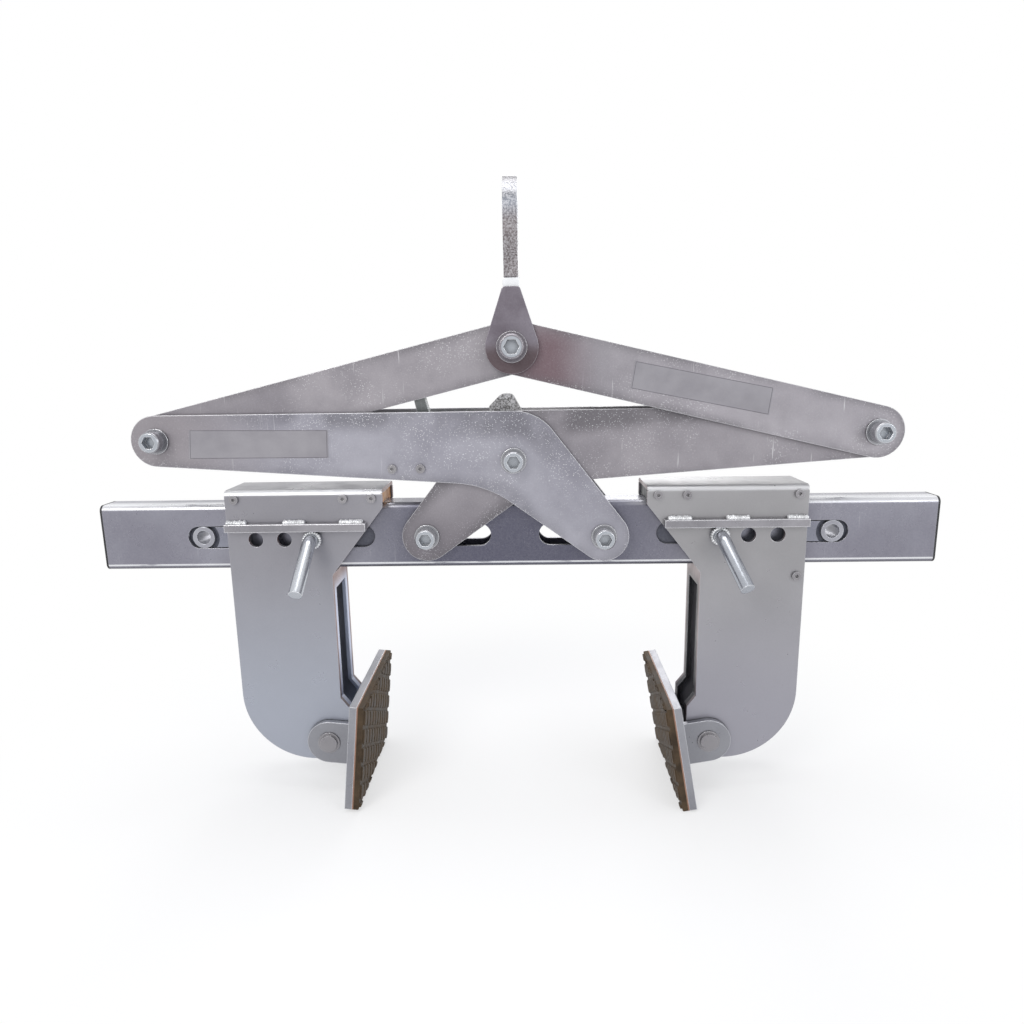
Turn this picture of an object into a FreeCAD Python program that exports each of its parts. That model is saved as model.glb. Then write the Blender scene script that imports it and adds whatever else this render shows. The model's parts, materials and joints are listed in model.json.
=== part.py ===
import FreeCAD, Part
import Sketcher
import math
import os
import re
from types import SimpleNamespace

# A scissor-type horizontal lifting clamp for stone slabs.
# X runs along the beam, Y through its depth with the front at negative Y, Z up.
# Every piece is drawn about the beam's axis, then raised by beam_height so that the pads stand on Z = 0,
# and moved back by depth_shift so that the origin lies under the middle of the whole outline.

doc = FreeCAD.newDocument("lifting_clamp")
sheet = doc.addObject("Spreadsheet::Sheet", "Sizes")

# Driving dimensions, in millimetres and degrees

SIZES = {
    # Beam: a rectangular hollow section
    "beam_long": 1246.0,
    "beam_deep": 50.0,
    "beam_high": 100.0,
    "beam_wall": 5.0,
    "beam_corner": 9.0,
    "slot_high": 34.0,
    "inner_slot_start": 36.0,
    "inner_slot_end": 152.0,
    "outer_slot_start": 211.0,
    "slot_past_sleeve": 23.5,
    "cap_thick": 3.0,
    "cap_plug": 14.0,
    "cap_wall": 4.0,
    # Centre guide plate, which stands on the beam
    "guide_thick": 20.0,
    "guide_left": 36.0,
    "guide_right": 24.0,
    "guide_top": 208.0,
    "guide_shoulder_left": 188.0,
    "guide_shoulder_right": 162.0,
    "guide_nose_left": 10.5,
    "guide_nose_left_round": 17.0,
    "guide_nose_right": 6.0,
    "guide_nose_right_round": 8.0,
    "guide_edge_round": 4.0,
    # Slide bars inside the beam
    "slide_start": 108.0,
    "slide_end": 500.0,
    "slide_high": 80.0,
    "slide_wall": 5.0,
    "slide_gap": 0.3,
    "sleeve_first": 299.5,
    "sleeve_pitch": 172.0,
    "sleeve_round": 16.5,
    "sleeve_bore": 10.5,
    "key_high": 31.0,
    "key_recess": 0.5,
    "key_end_round": 24.0,
    # Scissor: pin places from the beam's axis
    "low_pin_reach": 131.0,
    "centre_rise": 114.0,
    "outer_pin_reach": 517.3,
    "outer_pin_rise": 148.5,
    "top_pin_rise": 273.5,
    "link_thick": 8.0,
    "link_gap": 2.0,
    "link_round": 37.0,
    "hub_round": 71.0,
    "throat_round": 150.0,
    "throat_reach": 94.0,
    "throat_drop": 182.0,
    "centre_travel": 51.8,
    "low_pin_play": 4.1,
    "top_pin_play": 8.0,
    "track_play": 0.2,
    # Bolts: radius of the shank, head and washer, and heights
    "bolt_round": 10.0,
    "bolt_head_round": 15.0,
    "bolt_head_high": 20.0,
    "bolt_key_round": 9.8,
    "bolt_key_deep": 10.0,
    "head_chamfer": 1.8,
    "bolt_nut_round": 17.3,
    "bolt_nut_high": 16.0,
    "bolt_tail": 4.0,
    "washer_round": 18.5,
    "washer_thick": 3.0,
    "top_bolt_round": 12.0,
    "top_head_round": 17.5,
    "top_head_high": 22.0,
    "top_key_round": 11.0,
    "top_nut_round": 20.8,
    "top_washer_round": 21.5,
    "thrust_round": 29.0,
    "thrust_thick": 1.7,
    "run_fit": 0.05,
    "seat_fit": 0.02,
    "face_gap": 0.3,
    # Hook: side plates, bridge and lifting eye
    "hook_plate_thick": 8.0,
    "hook_plate_round": 37.0,
    "hook_top_rise": 81.0,
    "hook_top_half": 13.5,
    "hook_top_round": 6.0,
    "bridge_low": 52.0,
    "bridge_top": 93.0,
    "bridge_half": 11.5,
    "eye_thick": 20.0,
    "eye_round": 62.0,
    "eye_bore": 36.0,
    "eye_rise": 171.0,
    "eye_foot_half": 42.0,
    # Legs
    "leg_half_deep": 44.5,
    "leg_wall": 6.0,
    "leg_outer": 426.6,
    "leg_hat_inner": 193.5,
    "leg_hat_low": 48.0,
    "leg_plate_top": 68.0,
    "leg_inner": 274.0,
    "leg_slant_low": 59.0,
    "leg_slant_round": 10.0,
    "leg_toe_top": 254.0,
    "leg_toe_low": 272.0,
    "leg_toe_inner": 261.0,
    "leg_edge_round": 3.0,
    "leg_foot_round": 110.0,
    "leg_foot_centre": 246.0,
    "leg_hole": 11.0,
    "leg_hole_pitch": 42.7,
    "leg_floor_gap": 4.0,
    "window_top": 80.0,
    "window_low": 302.0,
    "window_half": 27.5,
    "leg_bend": 9.0,
    "rib_low": 13.8,
    "rib_top": 25.4,
    "rib_out": 11.0,
    "rib_inner": 218.4,
    "saddle_pin_gap": 27.5,
    "saddle_outer_long": 28.6,
    "saddle_gap": 0.3,
    "saddle_low": 46.0,
    "saddle_step": 230.0,
    "small_screw_round": 4.0,
    "small_head_round": 6.5,
    "small_head_high": 4.0,
    "small_key_round": 2.9,
    "small_key_deep": 2.5,
    "small_screw_rise": 61.0,
    "small_screw_outer_inset": 14.6,
    "small_screw_bite": 10.0,
    "stop_screw_inset": 11.9,
    "stop_screw_drop": 62.4,
    # Locking pins
    "lock_round": 10.0,
    "lock_tail": 8.0,
    "lock_collar_round": 13.4,
    "lock_collar_thick": 6.0,
    "lock_neck": 6.0,
    "lock_bend": 22.0,
    "lock_handle": 88.0,
    "lock_droop": 42.0,
    "left_handle_turn": 4.0,
    "right_handle_turn": 19.0,
    # Pads, drawn about their hinge pin
    "pad_pin_reach": 294.0,
    "pad_pin_drop": 323.5,
    "pad_pin_round": 13.0,
    "pad_bush_round": 18.0,
    "pad_back": 40.5,
    "pad_rise": 8.4,
    "pad_deep": 219.0,
    "pad_high": 166.0,
    "pad_steel": 11.0,
    "pad_rubber": 13.4,
    "pad_frame": 9.0,
    "pad_groove": 3.0,
    "pad_groove_deep": 2.5,
    "ear_round": 34.0,
    "ear_thick": 8.0,
    "ear_gap": 1.5,
    "pad_pin_over": 5.0,
    "clip_round": 17.0,
    "clip_thick": 2.0,
    "left_pad_lean": 5.85,
    "right_pad_lean": 9.86,
    # Hold-open latch on the left lever
    "latch_reach": 120.0,
    "latch_rise": 130.0,
    "latch_thick": 12.0,
    "latch_stem_half": 7.0,
    "latch_lean": 14.0,
    "latch_pin_round": 5.0,
    "latch_boss_round": 12.0,
    "latch_rod_reach": 90.0,
    "latch_rod_round": 7.0,
    "latch_clear": 1.5,
    "latch_nose": 13.0,
    "latch_tip": 2.0,
    "bracket_left": 190.0,
    "bracket_right": 108.0,
    "bracket_low": 94.0,
    "bracket_top": 114.0,
    "bracket_lug": 7.0,
    "bracket_gap": 0.5,
    "bracket_screw_first": 176.0,
    "bracket_screw_second": 135.0,
    "bracket_screw_rise": 104.0,
    "cut_overrun": 5.0,
}
ROWS_COUNT = 9
SCREW_SHARES = (0.2262774, 0.8394161)
v = SimpleNamespace()


def size(name, value):
    """Put one value in the sheet under its alias and keep it for the script's own sums."""
    cell = str(len(vars(v)) + 1)
    sheet.set("A" + cell, name)
    sheet.set("B" + cell, repr(float(value)))
    sheet.setAlias("B" + cell, name)
    setattr(v, name, float(value))


for word, number in SIZES.items():
    size(word, number)


def lowest_corner(lean):
    """How far the pad's lowest corner lies under its hinge pin when the pad leans by this many degrees."""
    out = v.pad_back + v.pad_steel + v.pad_rubber
    down = v.pad_high / 2 - v.pad_rise
    turn = math.radians(lean)
    return out * math.sin(turn) + down * math.cos(turn)


# Derived sizes that more than one piece uses

size("beam_height", v.pad_pin_drop + max(lowest_corner(v.left_pad_lean), lowest_corner(v.right_pad_lean)))
size("half_beam", v.beam_deep / 2)
size("slide_half", v.half_beam - v.beam_wall - v.slide_gap)
size("sleeve_second", v.sleeve_first + v.sleeve_pitch)
size("outer_slot_end", v.sleeve_second + v.slot_past_sleeve)
size("leg_top", v.leg_plate_top + v.leg_wall)
size("saddle_inner_end", v.sleeve_first - v.lock_round - v.saddle_pin_gap)
size("saddle_outer_start", v.leg_outer - v.saddle_outer_long)
size("saddle_inner_long", v.saddle_inner_end - v.leg_hat_inner)
size("small_screw_first", v.leg_hat_inner + v.saddle_inner_long * SCREW_SHARES[0])
size("small_screw_second", v.leg_hat_inner + v.saddle_inner_long * SCREW_SHARES[1])
size("small_screw_third", v.leg_outer - v.small_screw_outer_inset)
size("stop_screw_reach", v.leg_outer - v.stop_screw_inset)
size("inner_layer", v.half_beam + v.link_gap)
size("outer_layer", v.inner_layer + v.link_thick + v.link_gap)
size("hook_layer", v.outer_layer + v.link_thick + v.link_gap)
size("hook_face", v.hook_layer + v.hook_plate_thick)
size("leg_inside", v.leg_half_deep - v.leg_wall)
size("ear_layer", v.leg_half_deep + v.ear_gap)
size("ear_face", v.ear_layer + v.ear_thick)
size("arm_slope_share", (v.top_pin_rise - v.outer_pin_rise) / v.outer_pin_reach)
size("latch_rod_rise", v.top_pin_rise - v.latch_rod_reach * v.arm_slope_share)
droop = math.radians(v.lock_droop)
size("elbow_run", v.lock_bend * math.tan(droop / 2))
size("handle_reach", v.leg_half_deep + v.lock_collar_thick + v.lock_neck + v.elbow_run
     + v.lock_handle * math.cos(droop) + v.lock_round * math.sin(droop))
size("depth_shift", (v.handle_reach - v.pad_deep / 2) / 2)

WORDS = re.compile(r"[a-z]+(?:_[a-z]+)+")


def bind(item, prop, text):
    """Tie one property to the sheet; each word with an underscore is an alias."""
    item.setExpression(prop, WORDS.sub(lambda found: "Sizes." + found.group(0), text))


# Drawing helpers

def side_span(side, near, far):
    """The same stretch along X on the right (side 1) or, mirrored, on the left (side -1)."""
    return (near, far) if side > 0 else (f"-({far})", f"-({near})")


def box(name, x_span, y_span, z_span):
    item = doc.addObject("Part::Box", name)
    for prop, axis, span in (("Length", "x", x_span), ("Width", "y", y_span), ("Height", "z", z_span)):
        bind(item, prop, f"({span[1]}) - ({span[0]})")
        bind(item, "Placement.Base." + axis, span[0])
    return item


def rod(name, x, z, y_span, radius):
    """A round bar along Y."""
    item = doc.addObject("Part::Cylinder", name)
    item.Placement = FreeCAD.Placement(FreeCAD.Vector(), FreeCAD.Rotation(FreeCAD.Vector(1, 0, 0), -90))
    bind(item, "Radius", radius)
    bind(item, "Height", f"({y_span[1]}) - ({y_span[0]})")
    for axis, text in (("x", x), ("y", y_span[0]), ("z", z)):
        bind(item, "Placement.Base." + axis, text)
    return item


def taper(name, x, z, y_span, start_radius, end_radius):
    """A round bar along Y that narrows or widens from its start to its end."""
    item = doc.addObject("Part::Cone", name)
    item.Placement = FreeCAD.Placement(FreeCAD.Vector(), FreeCAD.Rotation(FreeCAD.Vector(1, 0, 0), -90))
    bind(item, "Radius1", start_radius)
    bind(item, "Radius2", end_radius)
    bind(item, "Height", f"({y_span[1]}) - ({y_span[0]})")
    for axis, text in (("x", x), ("y", y_span[0]), ("z", z)):
        bind(item, "Placement.Base." + axis, text)
    return item


def hexagon(name, x, z, y_span, radius):
    """A six-sided bar along Y; radius reaches its corners."""
    item = doc.addObject("Part::Prism", name)
    item.Polygon = 6
    item.Placement = FreeCAD.Placement(FreeCAD.Vector(), FreeCAD.Rotation(FreeCAD.Vector(1, 0, 0), -90))
    bind(item, "Circumradius", radius)
    bind(item, "Height", f"({y_span[1]}) - ({y_span[0]})")
    for axis, text in (("x", x), ("y", y_span[0]), ("z", z)):
        bind(item, "Placement.Base." + axis, text)
    return item


def cut(name, base, tool):
    item = doc.addObject("Part::Cut", name)
    item.Base = base
    item.Tool = tool
    return item


def shared(name, base, tool):
    """What lies in both the base and the tool."""
    item = doc.addObject("Part::Common", name)
    item.Base = base
    item.Tool = tool
    return item


def fuse(name, items):
    item = doc.addObject("Part::MultiFuse", name)
    item.Shapes = items
    return item


def without(name, base, tools):
    """The base less several tools."""
    return cut(name, base, tools[0] if len(tools) == 1 else fuse(name + "_tools", tools))


def tube(name, x, z, y_span, radius, bore):
    return cut(name, rod(name + "_outer", x, z, y_span, radius), rod(name + "_bore", x, z, y_span, bore))


def belt(discs):
    """A closed outline wrapped round discs (x, z, radius, turn), counter-clockwise.

    A turn of 1 keeps the disc inside the outline and -1 leaves it outside, as at a throat.
    A radius of 0 is a sharp corner.
    """
    count = len(discs)
    lines = []
    for index in range(count):
        ax, az, ar, at = discs[index]
        bx, bz, br, bt = discs[(index + 1) % count]
        along = FreeCAD.Vector(bx - ax, bz - az, 0)
        far = along.Length
        along.normalize()
        right = FreeCAD.Vector(along.y, -along.x, 0)
        lean = (ar * at - br * bt) / far
        normal = right * math.sqrt(1 - lean * lean) + along * lean
        start = FreeCAD.Vector(ax, az, 0) + normal * (ar * at)
        end = FreeCAD.Vector(bx, bz, 0) + normal * (br * bt)
        lines.append((start, end, normal))
    edges = []
    for index in range(count):
        start, end, normal = lines[index]
        edges.append(Part.LineSegment(start, end))
        x, z, radius, turn = discs[(index + 1) % count]
        if not radius:
            continue
        leave, _, next_normal = lines[(index + 1) % count]
        swing = math.atan2(normal.x * next_normal.y - normal.y * next_normal.x, normal.dot(next_normal))
        if swing * turn < 0:
            swing += turn * math.tau
        half = FreeCAD.Rotation(FreeCAD.Vector(0, 0, 1), math.degrees(swing / 2)).multVec(normal)
        middle = FreeCAD.Vector(x, z, 0) + half * (radius * turn)
        edges.append(Part.Arc(end, middle, leave))
    return edges


def mirrored(discs, side):
    """The same discs on the left or right side, still counter-clockwise."""
    if side > 0:
        return discs
    return [(-x, z, radius, turn) for x, z, radius, turn in reversed(discs)]


def corners(points, radius):
    return [(x, z, radius, 1) for x, z in points]


def plane_of(body, role):
    return next(item for item in body.Origin.OriginFeatures if item.Role == role)


def sketch_on(body, name, role, outlines, circles=()):
    """A sketch on one of the body's own planes, with outlines and bound circles (x, z, radius text)."""
    sketch = body.newObject("Sketcher::SketchObject", name)
    sketch.AttachmentSupport = (plane_of(body, role), [""])
    sketch.MapMode = "FlatFace"
    for outline in outlines:
        sketch.addGeometry(outline, False)
    for x, z, radius in circles:
        ring = sketch.addGeometry(Part.Circle(FreeCAD.Vector(x, z, 0), FreeCAD.Vector(0, 0, 1), v.bolt_round))
        rule = sketch.addConstraint(Sketcher.Constraint("Radius", ring, v.bolt_round))
        bind(sketch, f"Constraints[{rule}]", radius)
    return sketch


def extruded(name, role, outlines, length, circles=()):
    """A body that holds one pad, grown both ways from its plane."""
    body = doc.addObject("PartDesign::Body", name)
    sketch = sketch_on(body, name + "_outline", role, outlines, circles)
    pad = body.newObject("PartDesign::Pad", name + "_pad")
    pad.Profile = sketch
    pad.Midplane = True
    bind(pad, "Length", length)
    sketch.Visibility = False
    return body


def pocket(body, name, role, outlines, length, circles=()):
    """Cut the outlines out of the body, both ways from its plane."""
    feature = body.newObject("PartDesign::Pocket", name)
    feature.Profile = sketch_on(body, name + "_outline", role, outlines, circles)
    feature.Midplane = True
    bind(feature, "Length", length)
    return feature


def plate(name, discs, y_span, circles=()):
    """A flat plate across Y with the given outline in X and Z."""
    body = extruded(name, "XZ_Plane", [belt(discs)], f"({y_span[1]}) - ({y_span[0]})", circles)
    bind(body, "Placement.Base.y", f"(({y_span[0]}) + ({y_span[1]})) / 2")
    return body


NODES = []


def node(label, items, base=("0", "depth_shift", "beam_height"), axis=None, angle=0.0):
    """One named sub-part: its solids, and its own Placement, bound to the sheet."""
    item = doc.addObject("Part::Compound", label)
    item.Links = items
    if axis:
        item.Placement = FreeCAD.Placement(FreeCAD.Vector(), FreeCAD.Rotation(axis, angle))
    for letter, text in zip("xyz", base):
        bind(item, "Placement.Base." + letter, text)
    NODES.append(item)
    return item


FRONT, REAR = -1, 1
SIDES = (("left", -1), ("right", 1))


def layer(side, near, far):
    """A stretch of depth on the front (-1) or the rear (1)."""
    return side_span(side, near, far)


def both(far):
    """The same depth in front and behind."""
    return (f"-({far})", far)


# Bolts, nuts and washers

def cap_screw(name, x, z, seat, reach, kind="bolt"):
    """A socket-head screw from the front: its head bears on -seat and its shank ends at reach."""
    size_of = {"bolt": ("bolt_head_round", "bolt_head_high", "bolt_key_round", "bolt_round"),
               "top": ("top_head_round", "top_head_high", "top_key_round", "top_bolt_round")}[kind]
    head_round, head_high, key_round, shank = size_of
    face = f"-({seat}) - {head_high}"
    neck = f"{face} + head_chamfer"
    rim = taper(name + "_rim", x, z, (face, neck), f"{head_round} - head_chamfer", head_round)
    head = rod(name + "_head", x, z, (neck, f"-({seat})"), head_round)
    stem = rod(name + "_stem", x, z, (f"-({seat}) - {head_high} / 2", reach), shank)
    key = hexagon(name + "_key", x, z, (f"{face} - cut_overrun", f"{face} + bolt_key_deep"), key_round)
    return cut(name + "_screw", fuse(name + "_blank", [rim, head, stem]), key)


def nut_and_washers(name, x, z, seat, spacers, kind="bolt"):
    """A washer under the head, one under the nut, the nut, and spacer tubes (near, far) between plates."""
    head_round, nut_round, nut_high, shank = {
        "bolt": ("washer_round", "bolt_nut_round", "bolt_nut_high", "bolt_round"),
        "top": ("top_washer_round", "top_nut_round", "top_head_high", "top_bolt_round")}[kind]
    bore = shank + " + seat_fit"
    items = []
    for place, y_span in (("front", (f"-({seat}) - washer_thick", f"-({seat})")),
                          ("rear", (seat, f"{seat} + washer_thick"))):
        items.append(tube(f"{name}_{place}_washer", x, z, y_span, head_round, bore))
    nut_span = (f"{seat} + washer_thick", f"{seat} + washer_thick + {nut_high}")
    blank = hexagon(name + "_nut_blank", x, z, nut_span, nut_round)
    items.append(cut(name + "_nut", blank, rod(name + "_nut_bore", x, z, nut_span, bore)))
    for number, (y_span, radius) in enumerate(spacers):
        items.append(tube(f"{name}_spacer_{number}", x, z, y_span, radius, bore))
    return items


size("screw_end", v.outer_layer + v.link_thick + v.face_gap + v.washer_thick + v.bolt_nut_high + v.bolt_tail)
size("low_screw_end", v.screw_end - v.outer_layer + v.inner_layer)
size("top_screw_end", v.hook_face + v.washer_thick + v.top_head_high + v.bolt_tail)
size("outer_seat", v.outer_layer + v.link_thick + v.face_gap)
size("inner_seat", v.inner_layer + v.link_thick + v.face_gap)


# Beam, end caps and centre guide plate

def rectangle(half_wide, half_high, radius):
    points = [(-half_wide + radius, -half_high + radius), (half_wide - radius, -half_high + radius),
              (half_wide - radius, half_high - radius), (-half_wide + radius, half_high - radius)]
    return belt(corners(points, radius))


def slot(start, end):
    half = v.slot_high / 2
    return belt(corners([(start + half, 0), (end - half, 0)], half))


def make_beam():
    outer = rectangle(v.half_beam, v.beam_high / 2, v.beam_corner)
    inner = rectangle(v.half_beam - v.beam_wall, v.beam_high / 2 - v.beam_wall, v.beam_corner - v.beam_wall)
    beam = extruded("beam_body", "YZ_Plane", [outer, inner], "beam_long")
    slots = [slot(v.inner_slot_start, v.inner_slot_end), slot(v.outer_slot_start, v.outer_slot_end)]
    slots += [slot(-v.inner_slot_end, -v.inner_slot_start), slot(-v.outer_slot_end, -v.outer_slot_start)]
    pocket(beam, "beam_slots", "XZ_Plane", slots, "beam_deep + cut_overrun")
    node("main_beam", [beam])
    for word, side in SIDES:
        cap = extruded(word + "_cap_plate", "YZ_Plane",
                       [rectangle(v.half_beam, v.beam_high / 2, v.beam_corner)], "cap_thick")
        bind(cap, "Placement.Base.x", f"{side} * (beam_long + cap_thick) / 2")
        plug_wide = v.half_beam - v.beam_wall - v.seat_fit
        plug_high = v.beam_high / 2 - v.beam_wall - v.seat_fit
        plug_round = v.beam_corner - v.beam_wall
        plug = extruded(word + "_cap_plug", "YZ_Plane",
                        [rectangle(plug_wide, plug_high, plug_round),
                         rectangle(plug_wide - v.cap_wall, plug_high - v.cap_wall, plug_round)], "cap_plug")
        bind(plug, "Placement.Base.x", f"{side} * (beam_long - cap_plug) / 2")
        node(word + "_end_cap", [fuse(word + "_cap", [cap, plug])])


def make_centre_guide():
    half_slot = v.bolt_round + v.track_play
    low = v.beam_high / 2
    edge = v.guide_edge_round
    outline = [(-v.guide_left, low, 0, 1), (v.guide_right, low, 0, 1),
               (v.guide_right - edge, v.guide_shoulder_right, edge, 1),
               (-v.guide_nose_right, v.guide_top - v.guide_nose_right_round, v.guide_nose_right_round, 1),
               (-v.guide_nose_left, v.guide_top - v.guide_nose_left_round, v.guide_nose_left_round, 1),
               (-v.guide_left + edge, v.guide_shoulder_left, edge, 1)]
    track = belt(corners([(0, v.centre_rise + v.centre_travel), (0, v.centre_rise)], half_slot))
    guide = plate("guide_body", outline, ("-guide_thick / 2", "guide_thick / 2"))
    pocket(guide, "guide_track", "XZ_Plane", [track], "guide_thick * 2")
    node("centre_guide_plate", [guide])


# Slide bars with their sleeves, keys and lower scissor bolts

def make_slide(word, side):
    centre = f"{side} * (slide_start + slide_end) / 2"
    outer = rectangle(v.slide_half, v.slide_high / 2, v.slide_wall)
    inner = rectangle(v.slide_half - v.slide_wall, v.slide_high / 2 - v.slide_wall, v.slide_wall / 2)
    bar = extruded(word + "_bar", "YZ_Plane", [outer, inner], "slide_end - slide_start")
    bind(bar, "Placement.Base.x", centre)
    places = ("low_pin_reach", "sleeve_first", "sleeve_second")
    fitted = "sleeve_round + seat_fit"
    holes = [rod(f"{word}_bar_hole_{number}", f"{side} * {place}", "0", both("half_beam"), fitted)
             for number, place in enumerate(places)]
    node(word + "_slide_bar", [without(word + "_bar_drilled", bar, holes)])

    sleeves = [tube(f"{word}_sleeve_{number}", f"{side} * {place}", "0", both("half_beam"),
                    "sleeve_round", "sleeve_bore") for number, place in enumerate(places[1:])]
    sleeves.append(tube(word + "_drive_boss", f"{side} * low_pin_reach", "0",
                        both("inner_layer - face_gap"), "sleeve_round", "bolt_round + seat_fit"))
    node(word + "_slide_sleeves", sleeves)

    keys = []
    for depth_word, depth in (("front", FRONT), ("rear", REAR)):
        name = f"{word}_{depth_word}_key"
        strip = box(name + "_strip", side_span(side, "sleeve_first", "sleeve_second"),
                    layer(depth, "slide_half", "half_beam - key_recess"), both("key_high / 2"))
        through = both("half_beam + cut_overrun")
        ends = [rod(f"{name}_end_{number}", f"{side} * {place}", "0", through, "key_end_round")
                for number, place in enumerate(places[1:])]
        keys.append(without(name, strip, ends))
    node(word + "_slide_keys", keys)

    seat = "outer_seat" if side > 0 else "inner_seat"
    reach = "screw_end" if side > 0 else "low_screw_end"
    low = f"{side} * low_pin_reach"
    node(word + "_low_bolt", [cap_screw(word + "_low", low, "0", seat + " + washer_thick", reach)])
    spacers = []
    if side > 0:
        for depth in (FRONT, REAR):
            spacers.append((layer(depth, "inner_layer - face_gap", "outer_layer - face_gap"), "sleeve_round"))
    node(word + "_low_nut_set", nut_and_washers(word + "_low", low, "0", seat, spacers))


# Legs

def bent_bar(name):
    """A bar as deep as the leg, with the rounded bends along its top that the folded plate has."""
    half = v.leg_half_deep
    bend = v.leg_bend
    foot = -v.pad_pin_drop - v.pad_high
    outline = belt([(-half, foot, 0, 1), (half, foot, 0, 1), (half - bend, v.leg_top - bend, bend, 1),
                    (bend - half, v.leg_top - bend, bend, 1)])
    return extruded(name, "YZ_Plane", [outline], "beam_long")


def make_leg(word, side):
    wall = v.leg_wall
    edge = v.leg_edge_round
    foot_x = v.leg_outer - v.leg_foot_round
    outline = [(v.pad_pin_reach, -v.pad_pin_drop, v.pad_pin_reach - v.leg_toe_inner, 1),
               (foot_x, -v.leg_foot_centre, v.leg_foot_round, 1),
               (v.leg_outer - edge, v.leg_plate_top - edge, edge, 1),
               (v.leg_hat_inner + edge, v.leg_plate_top - edge, edge, 1),
               (v.leg_hat_inner + edge, v.leg_hat_low, edge, 1),
               (v.leg_inner - v.leg_slant_round, -v.leg_slant_low, v.leg_slant_round, -1),
               (v.leg_inner, -v.leg_toe_top, 0, 1),
               (v.leg_toe_inner + edge, -v.leg_toe_low, edge, 1)]
    floor = -v.beam_high / 2 - v.leg_floor_gap
    beyond = v.cut_overrun
    hollow = [(v.pad_pin_reach, -v.pad_pin_drop, v.pad_pin_reach - v.leg_toe_inner - wall, 1),
              (foot_x, -v.leg_foot_centre, v.leg_foot_round - wall, 1),
              (v.leg_outer - wall, floor, 0, 1),
              (v.leg_outer + beyond, floor, 0, 1),
              (v.leg_outer + beyond, v.leg_plate_top + beyond, 0, 1),
              (v.leg_hat_inner - beyond, v.leg_plate_top + beyond, 0, 1),
              (v.leg_hat_inner - beyond, floor, 0, 1),
              (v.leg_inner + wall, floor, 0, 1),
              (v.leg_inner + wall, -v.leg_toe_top, 0, 1),
              (v.leg_toe_inner + wall, -v.leg_toe_low, 0, 1)]
    holes = [(side * (v.sleeve_first + step * v.leg_hole_pitch), 0, "leg_hole") for step in range(3)]
    holes += [(side * reach, v.small_screw_rise, "small_screw_round + seat_fit")
              for reach in (v.small_screw_first, v.small_screw_second, v.small_screw_third)]
    holes.append((side * v.pad_pin_reach, -v.pad_pin_drop, "pad_pin_round + run_fit"))
    if side > 0:
        holes.append((v.stop_screw_reach, -v.stop_screw_drop, "small_screw_round + seat_fit"))
    shell = plate(word + "_leg_body", mirrored(outline, side), both("leg_half_deep"))
    pocket(shell, word + "_leg_hollow", "XZ_Plane", [belt(mirrored(hollow, side))], "leg_inside * 2")
    pocket(shell, word + "_leg_holes", "XZ_Plane", [], "leg_half_deep * 2 + cut_overrun", holes)
    through = side_span(side, "leg_toe_inner - cut_overrun", "leg_inner + leg_wall + cut_overrun")
    window = box(word + "_window", through, both("window_half"), ("-window_low", "-window_top"))
    roof = box(word + "_roof", side_span(side, "leg_hat_inner", "leg_outer"), both("leg_half_deep"),
               ("leg_plate_top", "leg_top"))
    bends = [bent_bar(f"{word}_{name}_bend") for name in ("shell", "roof")]
    node(word + "_leg_shell", [shared(word + "_bent_shell", cut(word + "_leg", shell, window), bends[0])])
    node(word + "_leg_cap", [shared(word + "_bent_roof", roof, bends[1])])
    ribs = [box(f"{word}_{name}_rib", side_span(side, "rib_inner", "leg_outer"),
                layer(depth, "leg_half_deep", "leg_half_deep + rib_out"), ("rib_low", "rib_top"))
            for name, depth in (("front", FRONT), ("rear", REAR))]
    node(word + "_leg_ribs", ribs)
    node(word + "_pad_bush", [tube(word + "_bush", f"{side} * pad_pin_reach", "-pad_pin_drop",
                                   both("leg_inside"), "pad_bush_round", "pad_pin_round + run_fit")])
    make_saddles(word, side)
    make_guide_screws(word, side)


def make_saddles(word, side):
    """The two slides that wrap the beam's top and sides inside the hat, at its inner and outer ends."""
    top = v.leg_plate_top
    low = v.saddle_low
    edge = v.leg_edge_round
    start = v.leg_hat_inner + edge
    inner = corners([(start, v.leg_hat_low), (v.saddle_step, 0), (v.saddle_inner_end, 0),
                     (v.saddle_inner_end, top), (start, top)], 0)
    outer = corners([(v.saddle_outer_start, -low), (v.leg_outer, -low), (v.leg_outer, top),
                     (v.saddle_outer_start, top)], 0)
    reaches = (("inner", inner, (v.small_screw_first, v.small_screw_second)),
               ("outer", outer, (v.small_screw_third,)))
    saddles = []
    for name, outline, screws in reaches:
        circles = [(side * reach, v.small_screw_rise, "small_screw_round + seat_fit") for reach in screws]
        block = plate(f"{word}_{name}_saddle_block", mirrored(outline, side), both("leg_inside"), circles)
        channel = box(f"{word}_{name}_saddle_channel", ("-beam_long / 2", "beam_long / 2"),
                      both("half_beam + saddle_gap"), ("-beam_high", "beam_high / 2 + saddle_gap"))
        saddles.append(cut(f"{word}_{name}_saddle", block, channel))
    node(word + "_beam_saddles", saddles)


def small_screw(name, x, z, depth, face, bite):
    """A small button-head screw on the front or rear face, with its shank going inwards by bite."""
    head = rod(name + "_head", x, z, layer(depth, face, f"{face} + small_head_high"), "small_head_round")
    stem = rod(name + "_stem", x, z, layer(depth, f"{face} - {bite}", f"{face} + small_head_high / 2"),
               "small_screw_round")
    outside = f"{face} + small_head_high"
    socket = layer(depth, f"{outside} - small_key_deep", f"{outside} + cut_overrun")
    key = hexagon(name + "_key", x, z, socket, "small_key_round")
    return cut(name, fuse(name + "_blank", [head, stem]), key)


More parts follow.
